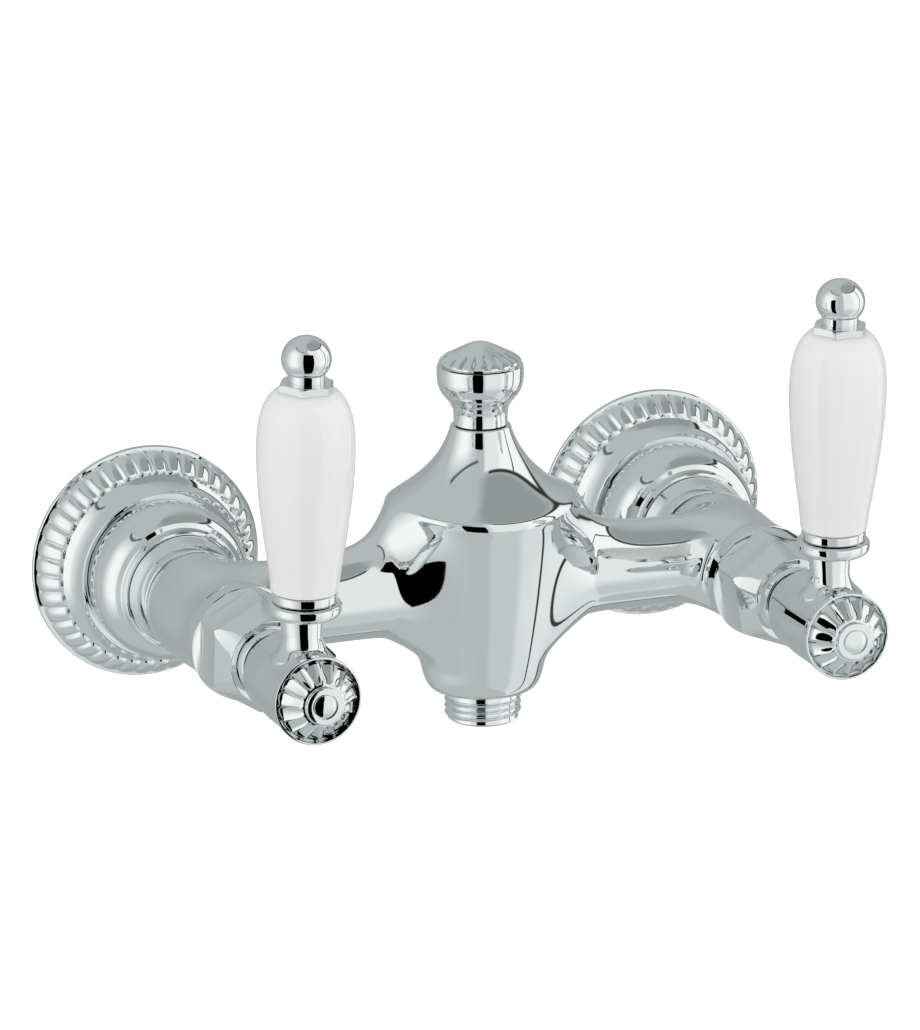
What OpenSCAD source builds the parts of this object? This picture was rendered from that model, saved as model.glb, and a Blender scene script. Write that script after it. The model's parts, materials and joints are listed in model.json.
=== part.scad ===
// Wall-mounted shower mixer with two quarter-turn levers.
// Millimetres. X runs to the right, Y into the wall and Z up. The origin lies on the wall
// midway between the two inlets.

/* [Layout] */
// Distance between the centres of the two inlets
inlet_spacing = 150; // [140:1:170]
// Distance from the back of the barrels to the axis of the column
column_set = 21; // [19:0.5:23]

/* [Wall union] */
// Outer radius of the half inch pipe thread
pipe_thread_r = 10.48; // [10.2:0.01:10.7]
// Length of the thread that sits in the wall
wall_tail = 16; // [10:1:25]
// Length of the thread that screws into the wall
pipe_thread_len = 15; // [8:0.5:16]
// Depth of the plain neck between that thread and the union's hexagon
thread_relief = 1.2; // [0.6:0.1:1.5]
// Outer radius of the union's thread under the union nut
union_thread_r = 11.3; // [11:0.1:11.5]
// Radius of the waterway through the union
union_bore_r = 7; // [5:0.5:8]
// Distance of the union's hexagon from the wall
union_hex_set = 3; // [1:0.5:6]
// Width of the union's hexagon across its flats
union_hex_af = 24; // [23:0.5:27]
// Length of the union's hexagon
union_hex_len = 6; // [4:0.5:9]
// Distance of the union's front face from the wall
union_front = 29; // [26:0.5:32]

/* [Union nut] */
// Outer radius of the round union nut
nut_r = 15.8; // [14.5:0.1:18]
// Radius of the nut's narrow front end
nut_nose_r = 14; // [12:0.1:14.4]
// Length of the nut's thread on the wall union
nut_grip = 5; // [3:0.5:8]
// Length of the nut in front of the tail's flange
nut_nose = 8.3; // [5:0.1:10]
// Radius of the cove between the nut and its front end
nut_cove = 6; // [2:0.5:9]
// Thickness of the flat washer in the nut
washer_t = 2; // [1:0.5:3]

/* [Inlet tail] */
// Outer radius of the tail
tail_r = 8.4; // [7.5:0.1:9]
// Radius of the waterway through the tail
tail_bore_r = 6.5; // [5:0.5:7]
// Radius of the tail's flange
tail_flange_r = 9.9; // [9.4:0.1:10.1]
// Thickness of the tail's flange
tail_flange_t = 2; // [1:0.5:3]
// Length of the tail inside the barrel
tail_fit = 11.5; // [8:0.5:13]
// Open gap between the union nut and the barrel
nut_gap = 1.2; // [0.5:0.1:3]

/* [Rosette] */
// Radius of the rosette at the wall
rosette_r = 32.7; // [31:0.1:36]
// Thickness of the rosette's flat lip
rosette_lip = 1.2; // [0.8:0.1:2]
// Radius of the ribbed band at the lip
band_r = 31; // [29.5:0.1:31]
// Radius of the ribbed band at its front
band_front_r = 27.5; // [26.5:0.1:28.5]
// Distance of the band's front from the wall
band_depth = 7.4; // [6:0.1:9]
// Number of convex ribs round the band
band_ribs = 40; // [32:1:48]
// Radius of the grooves between the ribs
rib_groove_r = 1; // [0.6:0.1:1.4]
// Distance of a groove's axis above the chord of the band
rib_groove_set = 0.5; // [0:0.1:0.8]
// Radius of the raised ring behind the dome
ring_r = 23.3; // [22.8:0.1:24.5]
// Least width of the raised ring round the dome
ring_lap = 0.8; // [0.5:0.1:1.2]
// Distance of the raised ring from the wall
ring_depth = 16; // [14:0.1:18]
// Radius of the rosette's dome
dome_r = 22; // [21:0.1:22.4]
// Distance of the dome's crease from the wall
crease_depth = 30; // [27:0.1:31]
// Radius of the dome at its crease
crease_r = 18.6; // [18:0.1:19.5]
// Distance of the rosette's mouth from the wall
rosette_depth = 33; // [31.5:0.1:34]
// Thickness of the rosette's wall
rosette_wall = 1.4; // [0.8:0.1:1.8]

/* [Barrels] */
// Radius of a barrel
barrel_r = 15.1; // [14.5:0.1:17]
// Radius of a barrel at its waist
barrel_waist_r = 14.2; // [14:0.1:15]
// Length of a barrel
barrel_len = 37.5; // [36:0.5:42]
// Radius of the rounding at the back of a barrel
barrel_round = 2.8; // [1:0.1:4]
// Thickness of the valve seat in a barrel
seat_wall = 3; // [2:0.5:4]
// Radius of the hole in the valve seat
seat_hole_r = 5.5; // [4:0.5:5.5]
// Radius of the valve chamber in a barrel
chamber_r = 10.5; // [9.8:0.1:11]
// Length of the valve chamber
chamber_len = 13; // [12:0.5:15]

/* [Arms] */
// Radius of an arm
arm_r = 12; // [10:0.1:13]
// Drop of the arm's top line below the top of the barrel
arm_drop = 0.1; // [0.1:0.1:1]
// Radius of the waterway through the arms
waterway_r = 5; // [4:0.5:5.5]
// Radius of the fillet under an arm at the column
arm_fillet = 8; // [4:0.5:10]
// Radius of the fillet between an arm and its barrel
barrel_fillet = 5; // [2:0.5:6]
// Reach of the shoulder's tip past the bell's rim
shoulder_step = 3; // [1.5:0.1:5]
// Rise of the shoulder's tip above the bell's rim
shoulder_rise = 1.8; // [0.5:0.1:3]
// Drop of the shoulder below the bell's rim before it turns along the arm
shoulder_fall = 4.2; // [3:0.1:6]
// Length of the shoulder's slope along the arm
shoulder_run = 22; // [18:0.5:26]
// Extra half depth of an arm where it enters the column
root_flare = 2.5; // [0.5:0.1:5]

/* [Column] */
// Height of the bell's top above the inlets
bell_top = 47.4; // [44:0.1:52]
// Radius of the bell's top
bell_top_r = 8.1; // [7.6:0.1:9]
// Height of the bell's rim above the inlets
rim_z = 26; // [25:0.1:28]
// Radius of the bell's rim
rim_r = 25.6; // [24:0.1:28]
// Depth of the column's foot below the inlets
foot_drop = 27.5; // [25:0.1:32]
// Radius of the column at its foot
foot_r = 15.9; // [15:0.1:18]
// Radius of the rounding at the column's foot
foot_round = 4; // [1:0.1:4]
// Radius of the mixing chamber in the column
mixing_r = 8; // [6:0.5:9]
// Height of the mixing chamber's top above the inlets
mixing_top = 14; // [12:0.5:20]

/* [Shower outlet] */
// Length of the outlet thread below the column
outlet_len = 8.3; // [7:0.1:14]
// Length of the outlet thread inside the column
outlet_fit = 9; // [6:0.5:10]
// Radius of the waterway through the outlet
outlet_bore_r = 7; // [5:0.5:8]
// Size of the chamfer at the outlet's end
outlet_chamfer = 0.9; // [0.3:0.1:1.5]

/* [Finial] */
// Radius of the finial's ball
finial_r = 11.8; // [11.6:0.1:14]
// Radius of the finial's neck
finial_neck_r = 7.35; // [6.5:0.05:7.6]
// Height of the finial from its foot to the seam of its cap
finial_height = 16.7; // [15:0.1:20]
// Height of the cap above the seam
cap_height = 6.2; // [5:0.1:8]
// Radius of the cap at the seam
cap_r = 11.2; // [10:0.1:11.4]
// Radius at which the cap's crown turns over
crown_r = 4.5; // [3:0.1:6]
// Number of flutes round the cap
crown_flutes = 18; // [12:1:24]
// Radius of a flute at the seam
flute_r = 1; // [0.5:0.1:1.4]
// Length of the cap's stub in the finial
stub_len = 6; // [4:0.5:8]
// Radius of the finial's threaded stud
finial_stud_r = 3.5; // [2.5:0.1:5]
// Length of the finial's threaded stud
finial_stud = 10; // [6:0.5:14]
// Thickness of the gasket under the finial
finial_gasket_t = 0.3; // [0.2:0.1:1]

/* [Bonnet] */
// Radius of the bonnet's round ring and of its corners
bonnet_r = 15.1; // [14.8:0.1:16]
// Width of the bonnet's hexagon across its flats
bonnet_af = 27.4; // [26:0.1:28]
// Length of the bonnet's round ring
bonnet_ring = 3.85; // [2:0.05:6]
// Length of the slope from the ring to the flats
flat_slope = 2; // [1:0.1:3]
// Length of the flats
flat_len = 11; // [8:0.1:14]
// Length of the bonnet's tapered nose
nose_len = 7; // [5:0.1:9]
// Radius of the nose at its front
nose_r = 11.3; // [10.6:0.1:12]
// Radius of the collar in front of the nose
collar_r = 9.8; // [9:0.1:10.4]
// Length of the collar
collar_len = 2.5; // [1:0.1:4]
// Turn of the left bonnet from a flat on the left
left_bonnet_turn = 32; // [0:1:60]
// Turn of the right bonnet from a flat on the left
right_bonnet_turn = 21; // [0:1:60]
// Radius of the bonnet's thread in the barrel
bonnet_thread_r = 11.5; // [11.2:0.1:12]
// Outer radius of the skirt round the discs
skirt_r = 9.3; // [8.8:0.1:9.5]
// Inner radius of the skirt round the discs
skirt_bore_r = 7.5; // [7.2:0.1:8.2]
// Height of the windows in the skirt
window_len = 4; // [2:0.5:4.5]
// Width of the windows in the skirt
window_w = 7; // [4:0.5:9]
// Outer radius of the gasket under the bonnet
gasket_r = 13.4; // [12.6:0.1:13.6]
// Thickness of the gasket under the bonnet
gasket_t = 1.15; // [1:0.05:1.5]

/* [Valve discs] */
// Thickness of the rubber seat seal
seal_t = 2.5; // [2:0.1:3]
// Thickness of the fixed disc
fixed_disc_t = 2; // [1.5:0.1:3]
// Thickness of the turning disc
turning_disc_t = 2; // [1.5:0.1:3]
// Radius of the web between the ports
port_inner_r = 1.6; // [1:0.1:3]
// Radius of the ports in the fixed disc
port_r = 5.2; // [4:0.1:5.4]
// Angle of each port
port_angle = 80; // [60:5:85]

/* [Spindle] */
// Radius of the spindle's shaft
shaft_r = 5; // [4.5:0.1:5.5]
// Thickness of the spindle's flange on the turning disc
spindle_flange_t = 2.5; // [2:0.1:3]
// Radius of the splined end in the hub
spline_r = 4; // [3.5:0.1:4.3]
// Length of the splined end inside the bonnet
spline_back = 8.5; // [5:0.5:12]
// Length of the splined end inside the hub
spline_fit = 10; // [8:0.5:10.5]
// Radius of the O-ring's cord
o_ring_cord = 0.5; // [0.4:0.05:0.7]
// Distance of the O-ring from the bonnet's front end
o_ring_set = 31; // [28:0.5:34]

/* [Hub] */
// Radius of the hub at its middle
hub_r = 11.6; // [11.4:0.1:13]
// Radius of the hub at its back
hub_back_r = 8.9; // [8:0.1:9.6]
// Radius of the hub's front bead
bead_r = 12; // [11.8:0.1:13.5]
// Length of the hub
hub_len = 33; // [31:0.5:38]
// Depth of the splined socket in the hub
socket_depth = 10.8; // [10.8:0.1:12]
// Thickness of the web between the socket and the screw
web_t = 1.6; // [1:0.1:2]
// Depth of the seat for the front cap
cap_seat = 3.5; // [3:0.1:4]
// Radius of the front cap
front_cap_r = 11; // [10.4:0.1:11.3]
// Number of petals round the front cap
cap_petals = 20; // [16:1:24]
// Radius of the groove between two petals at the rim
petal_groove_r = 0.5; // [0.3:0.05:0.7]
// Depth of the front cap's face behind the hub's rim
cap_recess = 0.6; // [0.3:0.1:1]
// Dish of the front cap's face
cap_dish = 1.3; // [0.8:0.1:1.5]
// Length of the cap's plug in the screw pocket
plug_len = 4; // [3:0.5:5]
// Radius of the boss in the middle of the front cap
boss_r = 4.6; // [4.2:0.1:6]
// Rise of the boss above the cap's face
boss_rise = 0.5; // [0.2:0.1:1]
// Radius of the button in the boss
button_r = 3.2; // [2.5:0.1:3.6]
// Depth of the button's foot below the boss
button_set = 1.8; // [1:0.1:2.2]
// Rise of the button above the boss
button_rise = 0.4; // [0.2:0.1:0.8]
// Radius of the handle screw's head
screw_head_r = 4; // [3.4:0.1:4.1]
// Height of the handle screw's head
screw_head = 3; // [2:0.1:4]
// Radius of the handle screw's shank
screw_r = 2.4; // [1.8:0.1:2.6]
// Length of the handle screw's shank
screw_len = 13; // [8:0.5:13]

/* [Lever] */
// Distance of the lever's axis from the back of the hub
lever_set = 21.7; // [19:0.1:23]
// Tilt of the lever away from the wall
lever_tilt = 3.4; // [0:0.1:8]
// Radius of the lever's stem at the hub
stem_r = 5.1; // [4.6:0.1:6]
// Radius of the lever's stem at the collar
stem_top_r = 5.9; // [5.2:0.1:7]
// Height of the stem above the axis of the hub
stem_top = 21; // [18:0.5:24]
// Radius of the collar's torus
torus_r = 9.8; // [9:0.1:11]
// Height of the collar's torus
torus_h = 3.8; // [3:0.1:5]
// Radius of the ring above the torus
seat_ring_r = 8.6; // [8:0.1:9]
// Height of the ring above the torus
seat_ring_h = 2.9; // [2:0.1:4]
// Length of the porcelain grip
grip_len = 54.3; // [45:0.1:65]
// Largest radius of the grip
grip_r = 12.8; // [11.5:0.1:14]
// Radius of the grip at its foot
grip_foot_r = 8.5; // [8:0.1:9]
// Radius of the grip's flat top
grip_top_r = 6.6; // [6.2:0.1:9]
// Width of the nut on the grip across its flats
grip_nut_af = 13; // [11:0.1:14]
// Height of the nut on the grip
grip_nut_h = 2.2; // [1.5:0.1:4]
// Radius of the rod inside the grip
rod_r = 3; // [2:0.1:3.5]
// Depth of the rod's foot above the axis of the hub
rod_foot = 7; // [6.5:0.1:9]
// Radius of the neck under the ball
ball_neck_r = 5.2; // [4.5:0.1:5.6]
// Height of the neck under the ball
ball_neck_h = 2; // [1:0.1:4]
// Radius of the ball on the lever
ball_r = 6.75; // [6:0.05:8]

/* [Fits] */
// Clearance between a shaft and its bore
running_fit = 0.05; // [0.03:0.01:0.09]
// Clearance between fixed parts pushed into each other
push_fit = 0.05; // [0.03:0.01:0.1]
// Clearance of loose parts that pass each other
free_fit = 0.3; // [0.2:0.05:0.5]
// Gap along the axis between parts that turn against each other
turning_gap = 0.5; // [0.3:0.1:0.8]
// Gap between the two ceramic discs
disc_gap = 0.05; // [0.03:0.01:0.1]

/* [Hidden] */
$fn = 96;
// Largest angle between two points of a rounded corner
arc_step = 12;
// Overrun of a cut past the face that it opens
over = 1;
// Number of sides of an arm's rings, and the distance between plain rings
arm_sides = 32;
ring_step = 2;
left = -1;
right = 1;

// Distances from the wall along a valve, from back to front
nut_back = union_front - nut_grip;
washer_front = union_front + washer_t;
flange_front = washer_front + tail_flange_t;
nut_front = flange_front + nut_nose;
barrel_back = nut_front + nut_gap;
column_depth = barrel_back + column_set;
tail_end = barrel_back + tail_fit;
chamber_back = tail_end + seat_wall;
chamber_front = chamber_back + chamber_len;
barrel_front = barrel_back + barrel_len;
seal_front = chamber_back + seal_t;
fixed_disc_front = seal_front + fixed_disc_t;
turning_disc_back = fixed_disc_front + disc_gap;
turning_disc_front = turning_disc_back + turning_disc_t;
spindle_flange_front = turning_disc_front + spindle_flange_t;
skirt_end = spindle_flange_front + turning_gap;
gasket_back = barrel_front - 1;
bonnet_back = gasket_back + gasket_t;
slope_back = bonnet_back + bonnet_ring;
flats_back = slope_back + flat_slope;
nose_back = flats_back + flat_len;
collar_back = nose_back + nose_len;
bonnet_front = collar_back + collar_len;
hub_back = bonnet_front + turning_gap;
hub_front = hub_back + hub_len;
lever_depth = hub_back + lever_set;
spline_start = bonnet_front - spline_back;
spindle_front = hub_back + spline_fit;
socket_end = hub_back + socket_depth;
screw_seat = socket_end + web_t;
cap_floor = hub_front - cap_seat;
cap_face = hub_front - cap_recess;
boss_face = cap_face + boss_rise;
button_foot = boss_face - button_set;

// Heights and places of the body
arm_z = barrel_r - arm_drop - arm_r;
arm_top = arm_z + arm_r;
arm_low = arm_z - arm_r;
inlet_x = inlet_spacing / 2;
barrel_side = inlet_x - barrel_r;
shoulder_x = rim_r + shoulder_step;
shoulder_end = shoulder_x + shoulder_run;

// Heights along the lever's own axis
torus_top = stem_top + torus_h;
grip_foot = torus_top + seat_ring_h;
grip_top = grip_foot + grip_len;
grip_nut_top = grip_top + grip_nut_h;
ball_neck_top = grip_nut_top + ball_neck_h;

finial_foot = bell_top + finial_gasket_t;
finial_seam = finial_foot + finial_height;
screw_pocket_r = screw_head_r + free_fit;
stub_r = finial_stud_r - 0.5;
disc_r = skirt_bore_r - free_fit;

// Direction of a vector at unit length
function unit(v) = v / norm(v);

// Plane point of a path entry, which may carry a corner radius as well
function point(p) = [p[0], p[1]];

// Points of the arc that rounds corner b between its neighbours a and c
function corner(a, b, c) =
    let (
        to_a = point(a) - point(b),
        to_c = point(c) - point(b),
        half = acos(unit(to_a) * unit(to_c)) / 2,
        room = 0.49 * min(norm(to_a), norm(to_c)),
        r = min(b[2], room * tan(half)),
        centre = point(b) + unit(unit(to_a) + unit(to_c)) * r / sin(half),
        from = point(b) + unit(to_a) * r / tan(half) - centre,
        to = point(b) + unit(to_c) * r / tan(half) - centre,
        sweep = 180 - 2 * half,
        steps = max(1, ceil(sweep / arc_step))
    )
    [for (k = [0 : steps])
        centre + (sin(sweep * (1 - k / steps)) * from + sin(sweep * k / steps) * to) / sin(sweep)];

// Path with each corner that has a radius, as its third number, rounded by an arc
function rounded(path) = [
    for (i = [0 : len(path) - 1])
        each len(path[i]) > 2
            ? corner(path[(i + len(path) - 1) % len(path)], path[i], path[(i + 1) % len(path)])
            : [path[i]]
];

// Points of a smooth curve from a to d that leaves towards b and arrives from c
function curve(a, b, c, d, steps = 10) = [
    for (k = [0 : steps])
        let (t = k / steps, s = 1 - t)
        s * s * s * a + 3 * s * s * t * b + 3 * s * t * t * c + t * t * t * d
];

// Solid of revolution about Z of a path of [radius, height] points
module lathe(path) {
    rotate_extrude() polygon(rounded(path));
}

// Cylinder about Z between two heights
module shaft(r, from, to) {
    translate([0, 0, from]) cylinder(r = r, h = to - from);
}

// Ring about Z between two heights
module ring(r, bore_r, from, to) {
    difference() {
        shaft(r, from, to);
        shaft(bore_r, from - over, to + over);
    }
}

// Hexagonal prism about Z between two heights, a corner on the X axis
module hexagon(af, from, to) {
    translate([0, 0, from]) cylinder(r = af / 2 / cos(30), h = to - from, $fn = 6);
}

// Frame of a valve: Z runs out of the wall along its axis, from the wall
module on_valve(side) {
    translate([side * inlet_x, 0, 0]) rotate([90, 0, 0]) children();
}

// Frame of a lever: Z runs up the lever from the axis of its hub
module on_lever(side) {
    translate([side * inlet_x, -lever_depth, 0]) rotate([lever_tilt, 0, 0]) children();
}

// Frame of the column: Z runs up its axis, from the height of the inlets
module on_column() {
    translate([0, -column_depth, 0]) children();
}

// Frame of the arms: Z runs along their axis towards the given side
module on_arm(side) {
    translate([0, -column_depth, arm_z]) rotate([0, side * 90, 0]) children();
}

// Grooves round Z that run over a shape from one [radius, height] to another, at a small
// distance above their chord, with a radius at each end
module grooves(count, from, to, above, from_r, to_r) {
    along = unit(to - from);
    start = from - along * from_r + above * [along[1], -along[0]];
    far = norm(to - from) + from_r + to_r;
    for (k = [0 : count - 1]) rotate(360 * (k + 0.5) / count)
        translate([start[0], 0, start[1]]) rotate([0, atan2(along[0], along[1]), 0])
            cylinder(r1 = from_r, r2 = to_r, h = far, $fn = 24);
}

module column_solid() {
    bell = curve(
        [bell_top_r, bell_top],
        [bell_top_r + 1, bell_top - 6.4],
        [bell_top_r + 3, rim_z + 11.4],
        [rim_r, rim_z]);
    lathe(concat(
        [[0, -foot_drop], [foot_r, -foot_drop, foot_round], [rim_r - 0.5, rim_z - 1.6]],
        [for (k = [len(bell) - 1 : -1 : 0]) bell[k]],
        [[0, bell_top]]));
}

// Closed solid through rings of points that all have as many points
module loft(rings) {
    n = len(rings[0]);
    last = len(rings) - 1;
    polyhedron(
        points = [for (ring = rings) each ring],
        faces = concat(
            [[for (k = [0 : n - 1]) k]],
            [for (i = [0 : last - 1], k = [0 : n - 1])
                each [
                    [(i + 1) * n + (k + 1) % n, i * n + (k + 1) % n, i * n + k],
                    [(i + 1) * n + k, (i + 1) * n + (k + 1) % n, i * n + k]
                ]],
            [[for (k = [n - 1 : -1 : 0]) last * n + k]]));
}

// Distances of the arm's rings from the middle, close together where the shoulder turns
function arm_stations(top_line) = concat(
    [for (x = [foot_r - 6 : ring_step : shoulder_x - 3]) x],
    [for (p = top_line) if (p[0] > shoulder_x - 2.5 && p[0] < shoulder_end + 1) p[0]],
    [for (x = [shoulder_end + ring_step : ring_step : inlet_x - 6]) x]);

// Arm from inside the column to inside the barrel, with the shoulder that falls from the bell
module right_arm() {
    shoulder_top = rim_z + shoulder_rise;
    foot_z = -foot_drop + foot_round;
    top_line = rounded([
        [0, shoulder_top], [shoulder_x, shoulder_top, 2.5],
        [shoulder_x + 2.4, rim_z - shoulder_fall, 14],
        [shoulder_x + shoulder_run / 2, arm_top + 0.7, 20],
        [shoulder_end, arm_top], [inlet_x, arm_top]
    ]);
    low_line = rounded([
        [0, foot_z], [foot_r + 1.6, foot_z], [foot_r + 3.4, arm_low - 5.2, arm_fillet],
        [foot_r + 13, arm_low, arm_fillet * 2], [barrel_side + 1, arm_low, barrel_fillet * 2],
        [barrel_side + 1 + barrel_fillet, arm_low - barrel_fillet * 0.6],
        [inlet_x, arm_low - barrel_fillet * 0.6]
    ]);
    side_line = rounded([
        [0, arm_r + root_flare + 1.5], [foot_r, arm_r + root_flare + 1.5],
        [foot_r + 8, arm_r, 12], [barrel_side - 1, arm_r, barrel_fillet * 1.6],
        [barrel_side + 1.5, arm_r + barrel_fillet * 0.6], [inlet_x, arm_r + barrel_fillet * 0.6]
    ]);
    loft([
        for (x = arm_stations(top_line))
            let (
                up = lookup(x, top_line) - arm_z,
                down = arm_z - lookup(x, low_line),
                half = lookup(x, side_line)
            )
            [for (k = [0 : arm_sides - 1])
                let (a = 360 * k / arm_sides)
                [x, -column_depth + half * cos(a), arm_z + (a <= 180 ? up : down) * sin(a)]]
    ]);
}

module arm_solid(side) {
    if (side == right) right_arm();
    else mirror([1, 0, 0]) right_arm();
}

module barrel_solid(side) {
    on_valve(side) lathe([
        [0, barrel_back], [barrel_r, barrel_back, barrel_round],
        [barrel_r, barrel_back + barrel_len * 0.35, 30],
        [barrel_waist_r, barrel_back + barrel_len * 0.77, 30],
        [barrel_r - 0.1, barrel_front], [0, barrel_front]
    ]);
}

module barrel_bores(side) {
    on_valve(side) {
        shaft(tail_r + push_fit, barrel_back - over, tail_end);
        shaft(seat_hole_r, tail_end - over, chamber_back + over);
        shaft(chamber_r, chamber_back, chamber_front + over);
        shaft(bonnet_thread_r + push_fit, chamber_front, barrel_front + over);
        shaft(gasket_r + push_fit, gasket_back, barrel_front + over);
    }
    on_arm(side) shaft(waterway_r, 0, inlet_x);
}

module mixer_body() {
    color("lightsteelblue") difference() {
        union() {
            on_column() column_solid();
            for (side = [left, right]) {
                arm_solid(side);
                barrel_solid(side);
            }
        }
        for (side = [left, right]) barrel_bores(side);
        on_column() {
            shaft(pipe_thread_r + push_fit, -foot_drop - over, -foot_drop + outlet_fit);
            shaft(mixing_r, -foot_drop, mixing_top);
            shaft(finial_stud_r + push_fit, bell_top - finial_stud - over, bell_top + over);
        }
    }
}

module shower_outlet() {
    outlet_end = -foot_drop - outlet_len;
    neck_r = pipe_thread_r - 0.6;
    color("silver") on_column() difference() {
        lathe([
            [0, outlet_end], [pipe_thread_r - outlet_chamfer, outlet_end],
            [pipe_thread_r, outlet_end + outlet_chamfer],
            [pipe_thread_r, -foot_drop - 1.4], [neck_r, -foot_drop - 0.9],
            [neck_r, -foot_drop], [pipe_thread_r, -foot_drop + 0.5],
            [pipe_thread_r, -foot_drop + outlet_fit], [0, -foot_drop + outlet_fit]
        ]);
        shaft(outlet_bore_r, outlet_end - over, -foot_drop + outlet_fit + over);
    }
}

module top_finial() {
    color("gainsboro") on_column() difference() {
        lathe([
            [0, finial_foot - finial_stud], [finial_stud_r, finial_foot - finial_stud],
            [finial_stud_r, finial_foot], [finial_neck_r, finial_foot],
            [finial_neck_r, finial_foot + 4.9, 3], [finial_r, finial_foot + 9.9, 6],
            [finial_r, finial_seam, 2.2], [cap_r, finial_seam], [0, finial_seam]
        ]);
        shaft(stub_r + push_fit, finial_seam - stub_len - over, finial_seam + over);
    }
}

module finial_gasket() {
    color("dimgray") on_column()
        ring(finial_neck_r - 0.6, finial_stud_r + push_fit, bell_top, finial_foot);
}

module finial_cap() {
    top = finial_seam + cap_height;
    dome = curve(
        [cap_r, finial_seam], [cap_r - 2.6, finial_seam + 2.2], [crown_r, top], [0.01, top], 7);
    color("silver") on_column() difference() {
        lathe(concat(
            [[0, finial_seam - stub_len], [stub_r, finial_seam - stub_len], [stub_r, finial_seam]],
            dome, [[0, top]]));
        grooves(crown_flutes, [cap_r, finial_seam], [crown_r * 0.7, top], 0.7, flute_r, flute_r * 0.4);
    }
}

module rosette(side) {
    ring_out = max(ring_r, dome_r + ring_lap);
    band_h = band_depth - rosette_lip;
    band_belly = [band_r - 0.5, rosette_lip + band_h * 0.55];
    band_shoulder = [(band_r + band_front_r) / 2 + 0.2, rosette_lip + band_h * 0.82];
    outer = [
        [rosette_r, 0], [rosette_r, rosette_lip], [band_r, rosette_lip + 0.8],
        band_belly, band_shoulder, [band_front_r, band_depth],
        [ring_out + 0.9, (band_depth + ring_depth) / 2 + 0.3, 9], [ring_out, ring_depth, 0.3],
        [dome_r + 0.1, ring_depth, 0.2], [dome_r + 0.1, ring_depth - 0.5],
        [dome_r, ring_depth + 0.2], [dome_r, crease_depth - 5, 6], [crease_r, crease_depth],
        [nut_r + free_fit + 0.8, crease_depth + 0.6, 1],
        [nut_r + free_fit + 0.8, rosette_depth, 0.3]
    ];
    inner = [
        [nut_r + free_fit, rosette_depth], [nut_r + free_fit, crease_depth - 0.9],
        [crease_r - rosette_wall, crease_depth - rosette_wall],
        [dome_r - rosette_wall, crease_depth - 5 - rosette_wall, 5],
        [dome_r - rosette_wall, ring_depth - rosette_wall],
        [band_front_r - rosette_wall - 1.2, band_depth - rosette_wall],
        [band_r - rosette_wall - 1, rosette_lip], [rosette_r - rosette_wall, 0]
    ];
    color("gainsboro") on_valve(side) difference() {
        lathe(concat(outer, inner));
        grooves(band_ribs, [band_r, rosette_lip + 0.4], [band_front_r, band_depth],
            rib_groove_set, rib_groove_r, rib_groove_r * 0.8);
    }
}

module wall_union(side) {
    color("goldenrod") on_valve(side) difference() {
        union() {
            shaft(pipe_thread_r, -wall_tail, pipe_thread_len - wall_tail);
            shaft(pipe_thread_r - thread_relief, -wall_tail, union_hex_set + over);
            hexagon(union_hex_af, union_hex_set, union_hex_set + union_hex_len);
            shaft(union_thread_r, union_hex_set + union_hex_len - over, union_front);
        }
        shaft(union_bore_r, -wall_tail - over, union_front + over);
    }
}

module union_nut(side) {
    color("silver") on_valve(side) difference() {
        lathe([
            [0, nut_back], [nut_r, nut_back, 0.5], [nut_r, flange_front, 0.6],
            [nut_nose_r, flange_front + nut_nose * 0.45, nut_cove],
            [nut_nose_r, nut_front, 0.6], [0, nut_front]
        ]);
        shaft(union_thread_r + push_fit, nut_back - over, flange_front);
        shaft(tail_r + free_fit, nut_back, nut_front + over);
    }
}

module union_washer(side) {
    color("dimgray") on_valve(side)
        ring(union_thread_r - 0.8, tail_bore_r, union_front, washer_front);
}

module inlet_tail(side) {
    color("goldenrod") on_valve(side) difference() {
        union() {
            shaft(tail_flange_r, washer_front, flange_front);
            shaft(tail_r, flange_front - over, tail_end);
        }
        shaft(tail_bore_r, washer_front - over, tail_end + over);
    }
}

module seat_seal(side) {
    color("black") on_valve(side) ring(disc_r, seat_hole_r, chamber_back, seal_front);
}

// Two openings across a disc, each a sector between two radii
module ports(inner_r, outer_r, from, to) {
    for (turn = [0, 180])
        rotate(turn - port_angle / 2) translate([0, 0, from]) rotate_extrude(angle = port_angle)
            translate([inner_r, 0]) square([outer_r - inner_r, to - from]);
}

module fixed_disc(side) {
    color("whitesmoke") on_valve(side) difference() {
        shaft(disc_r, seal_front, fixed_disc_front);
        ports(port_inner_r, port_r, seal_front - over, fixed_disc_front + over);
    }
}

module turning_disc(side) {
    color("white") on_valve(side) difference() {
        shaft(disc_r, turning_disc_back, turning_disc_front);
        rotate(90)
            ports(port_inner_r, disc_r + over, turning_disc_back - over, turning_disc_front + over);
    }
}

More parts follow.
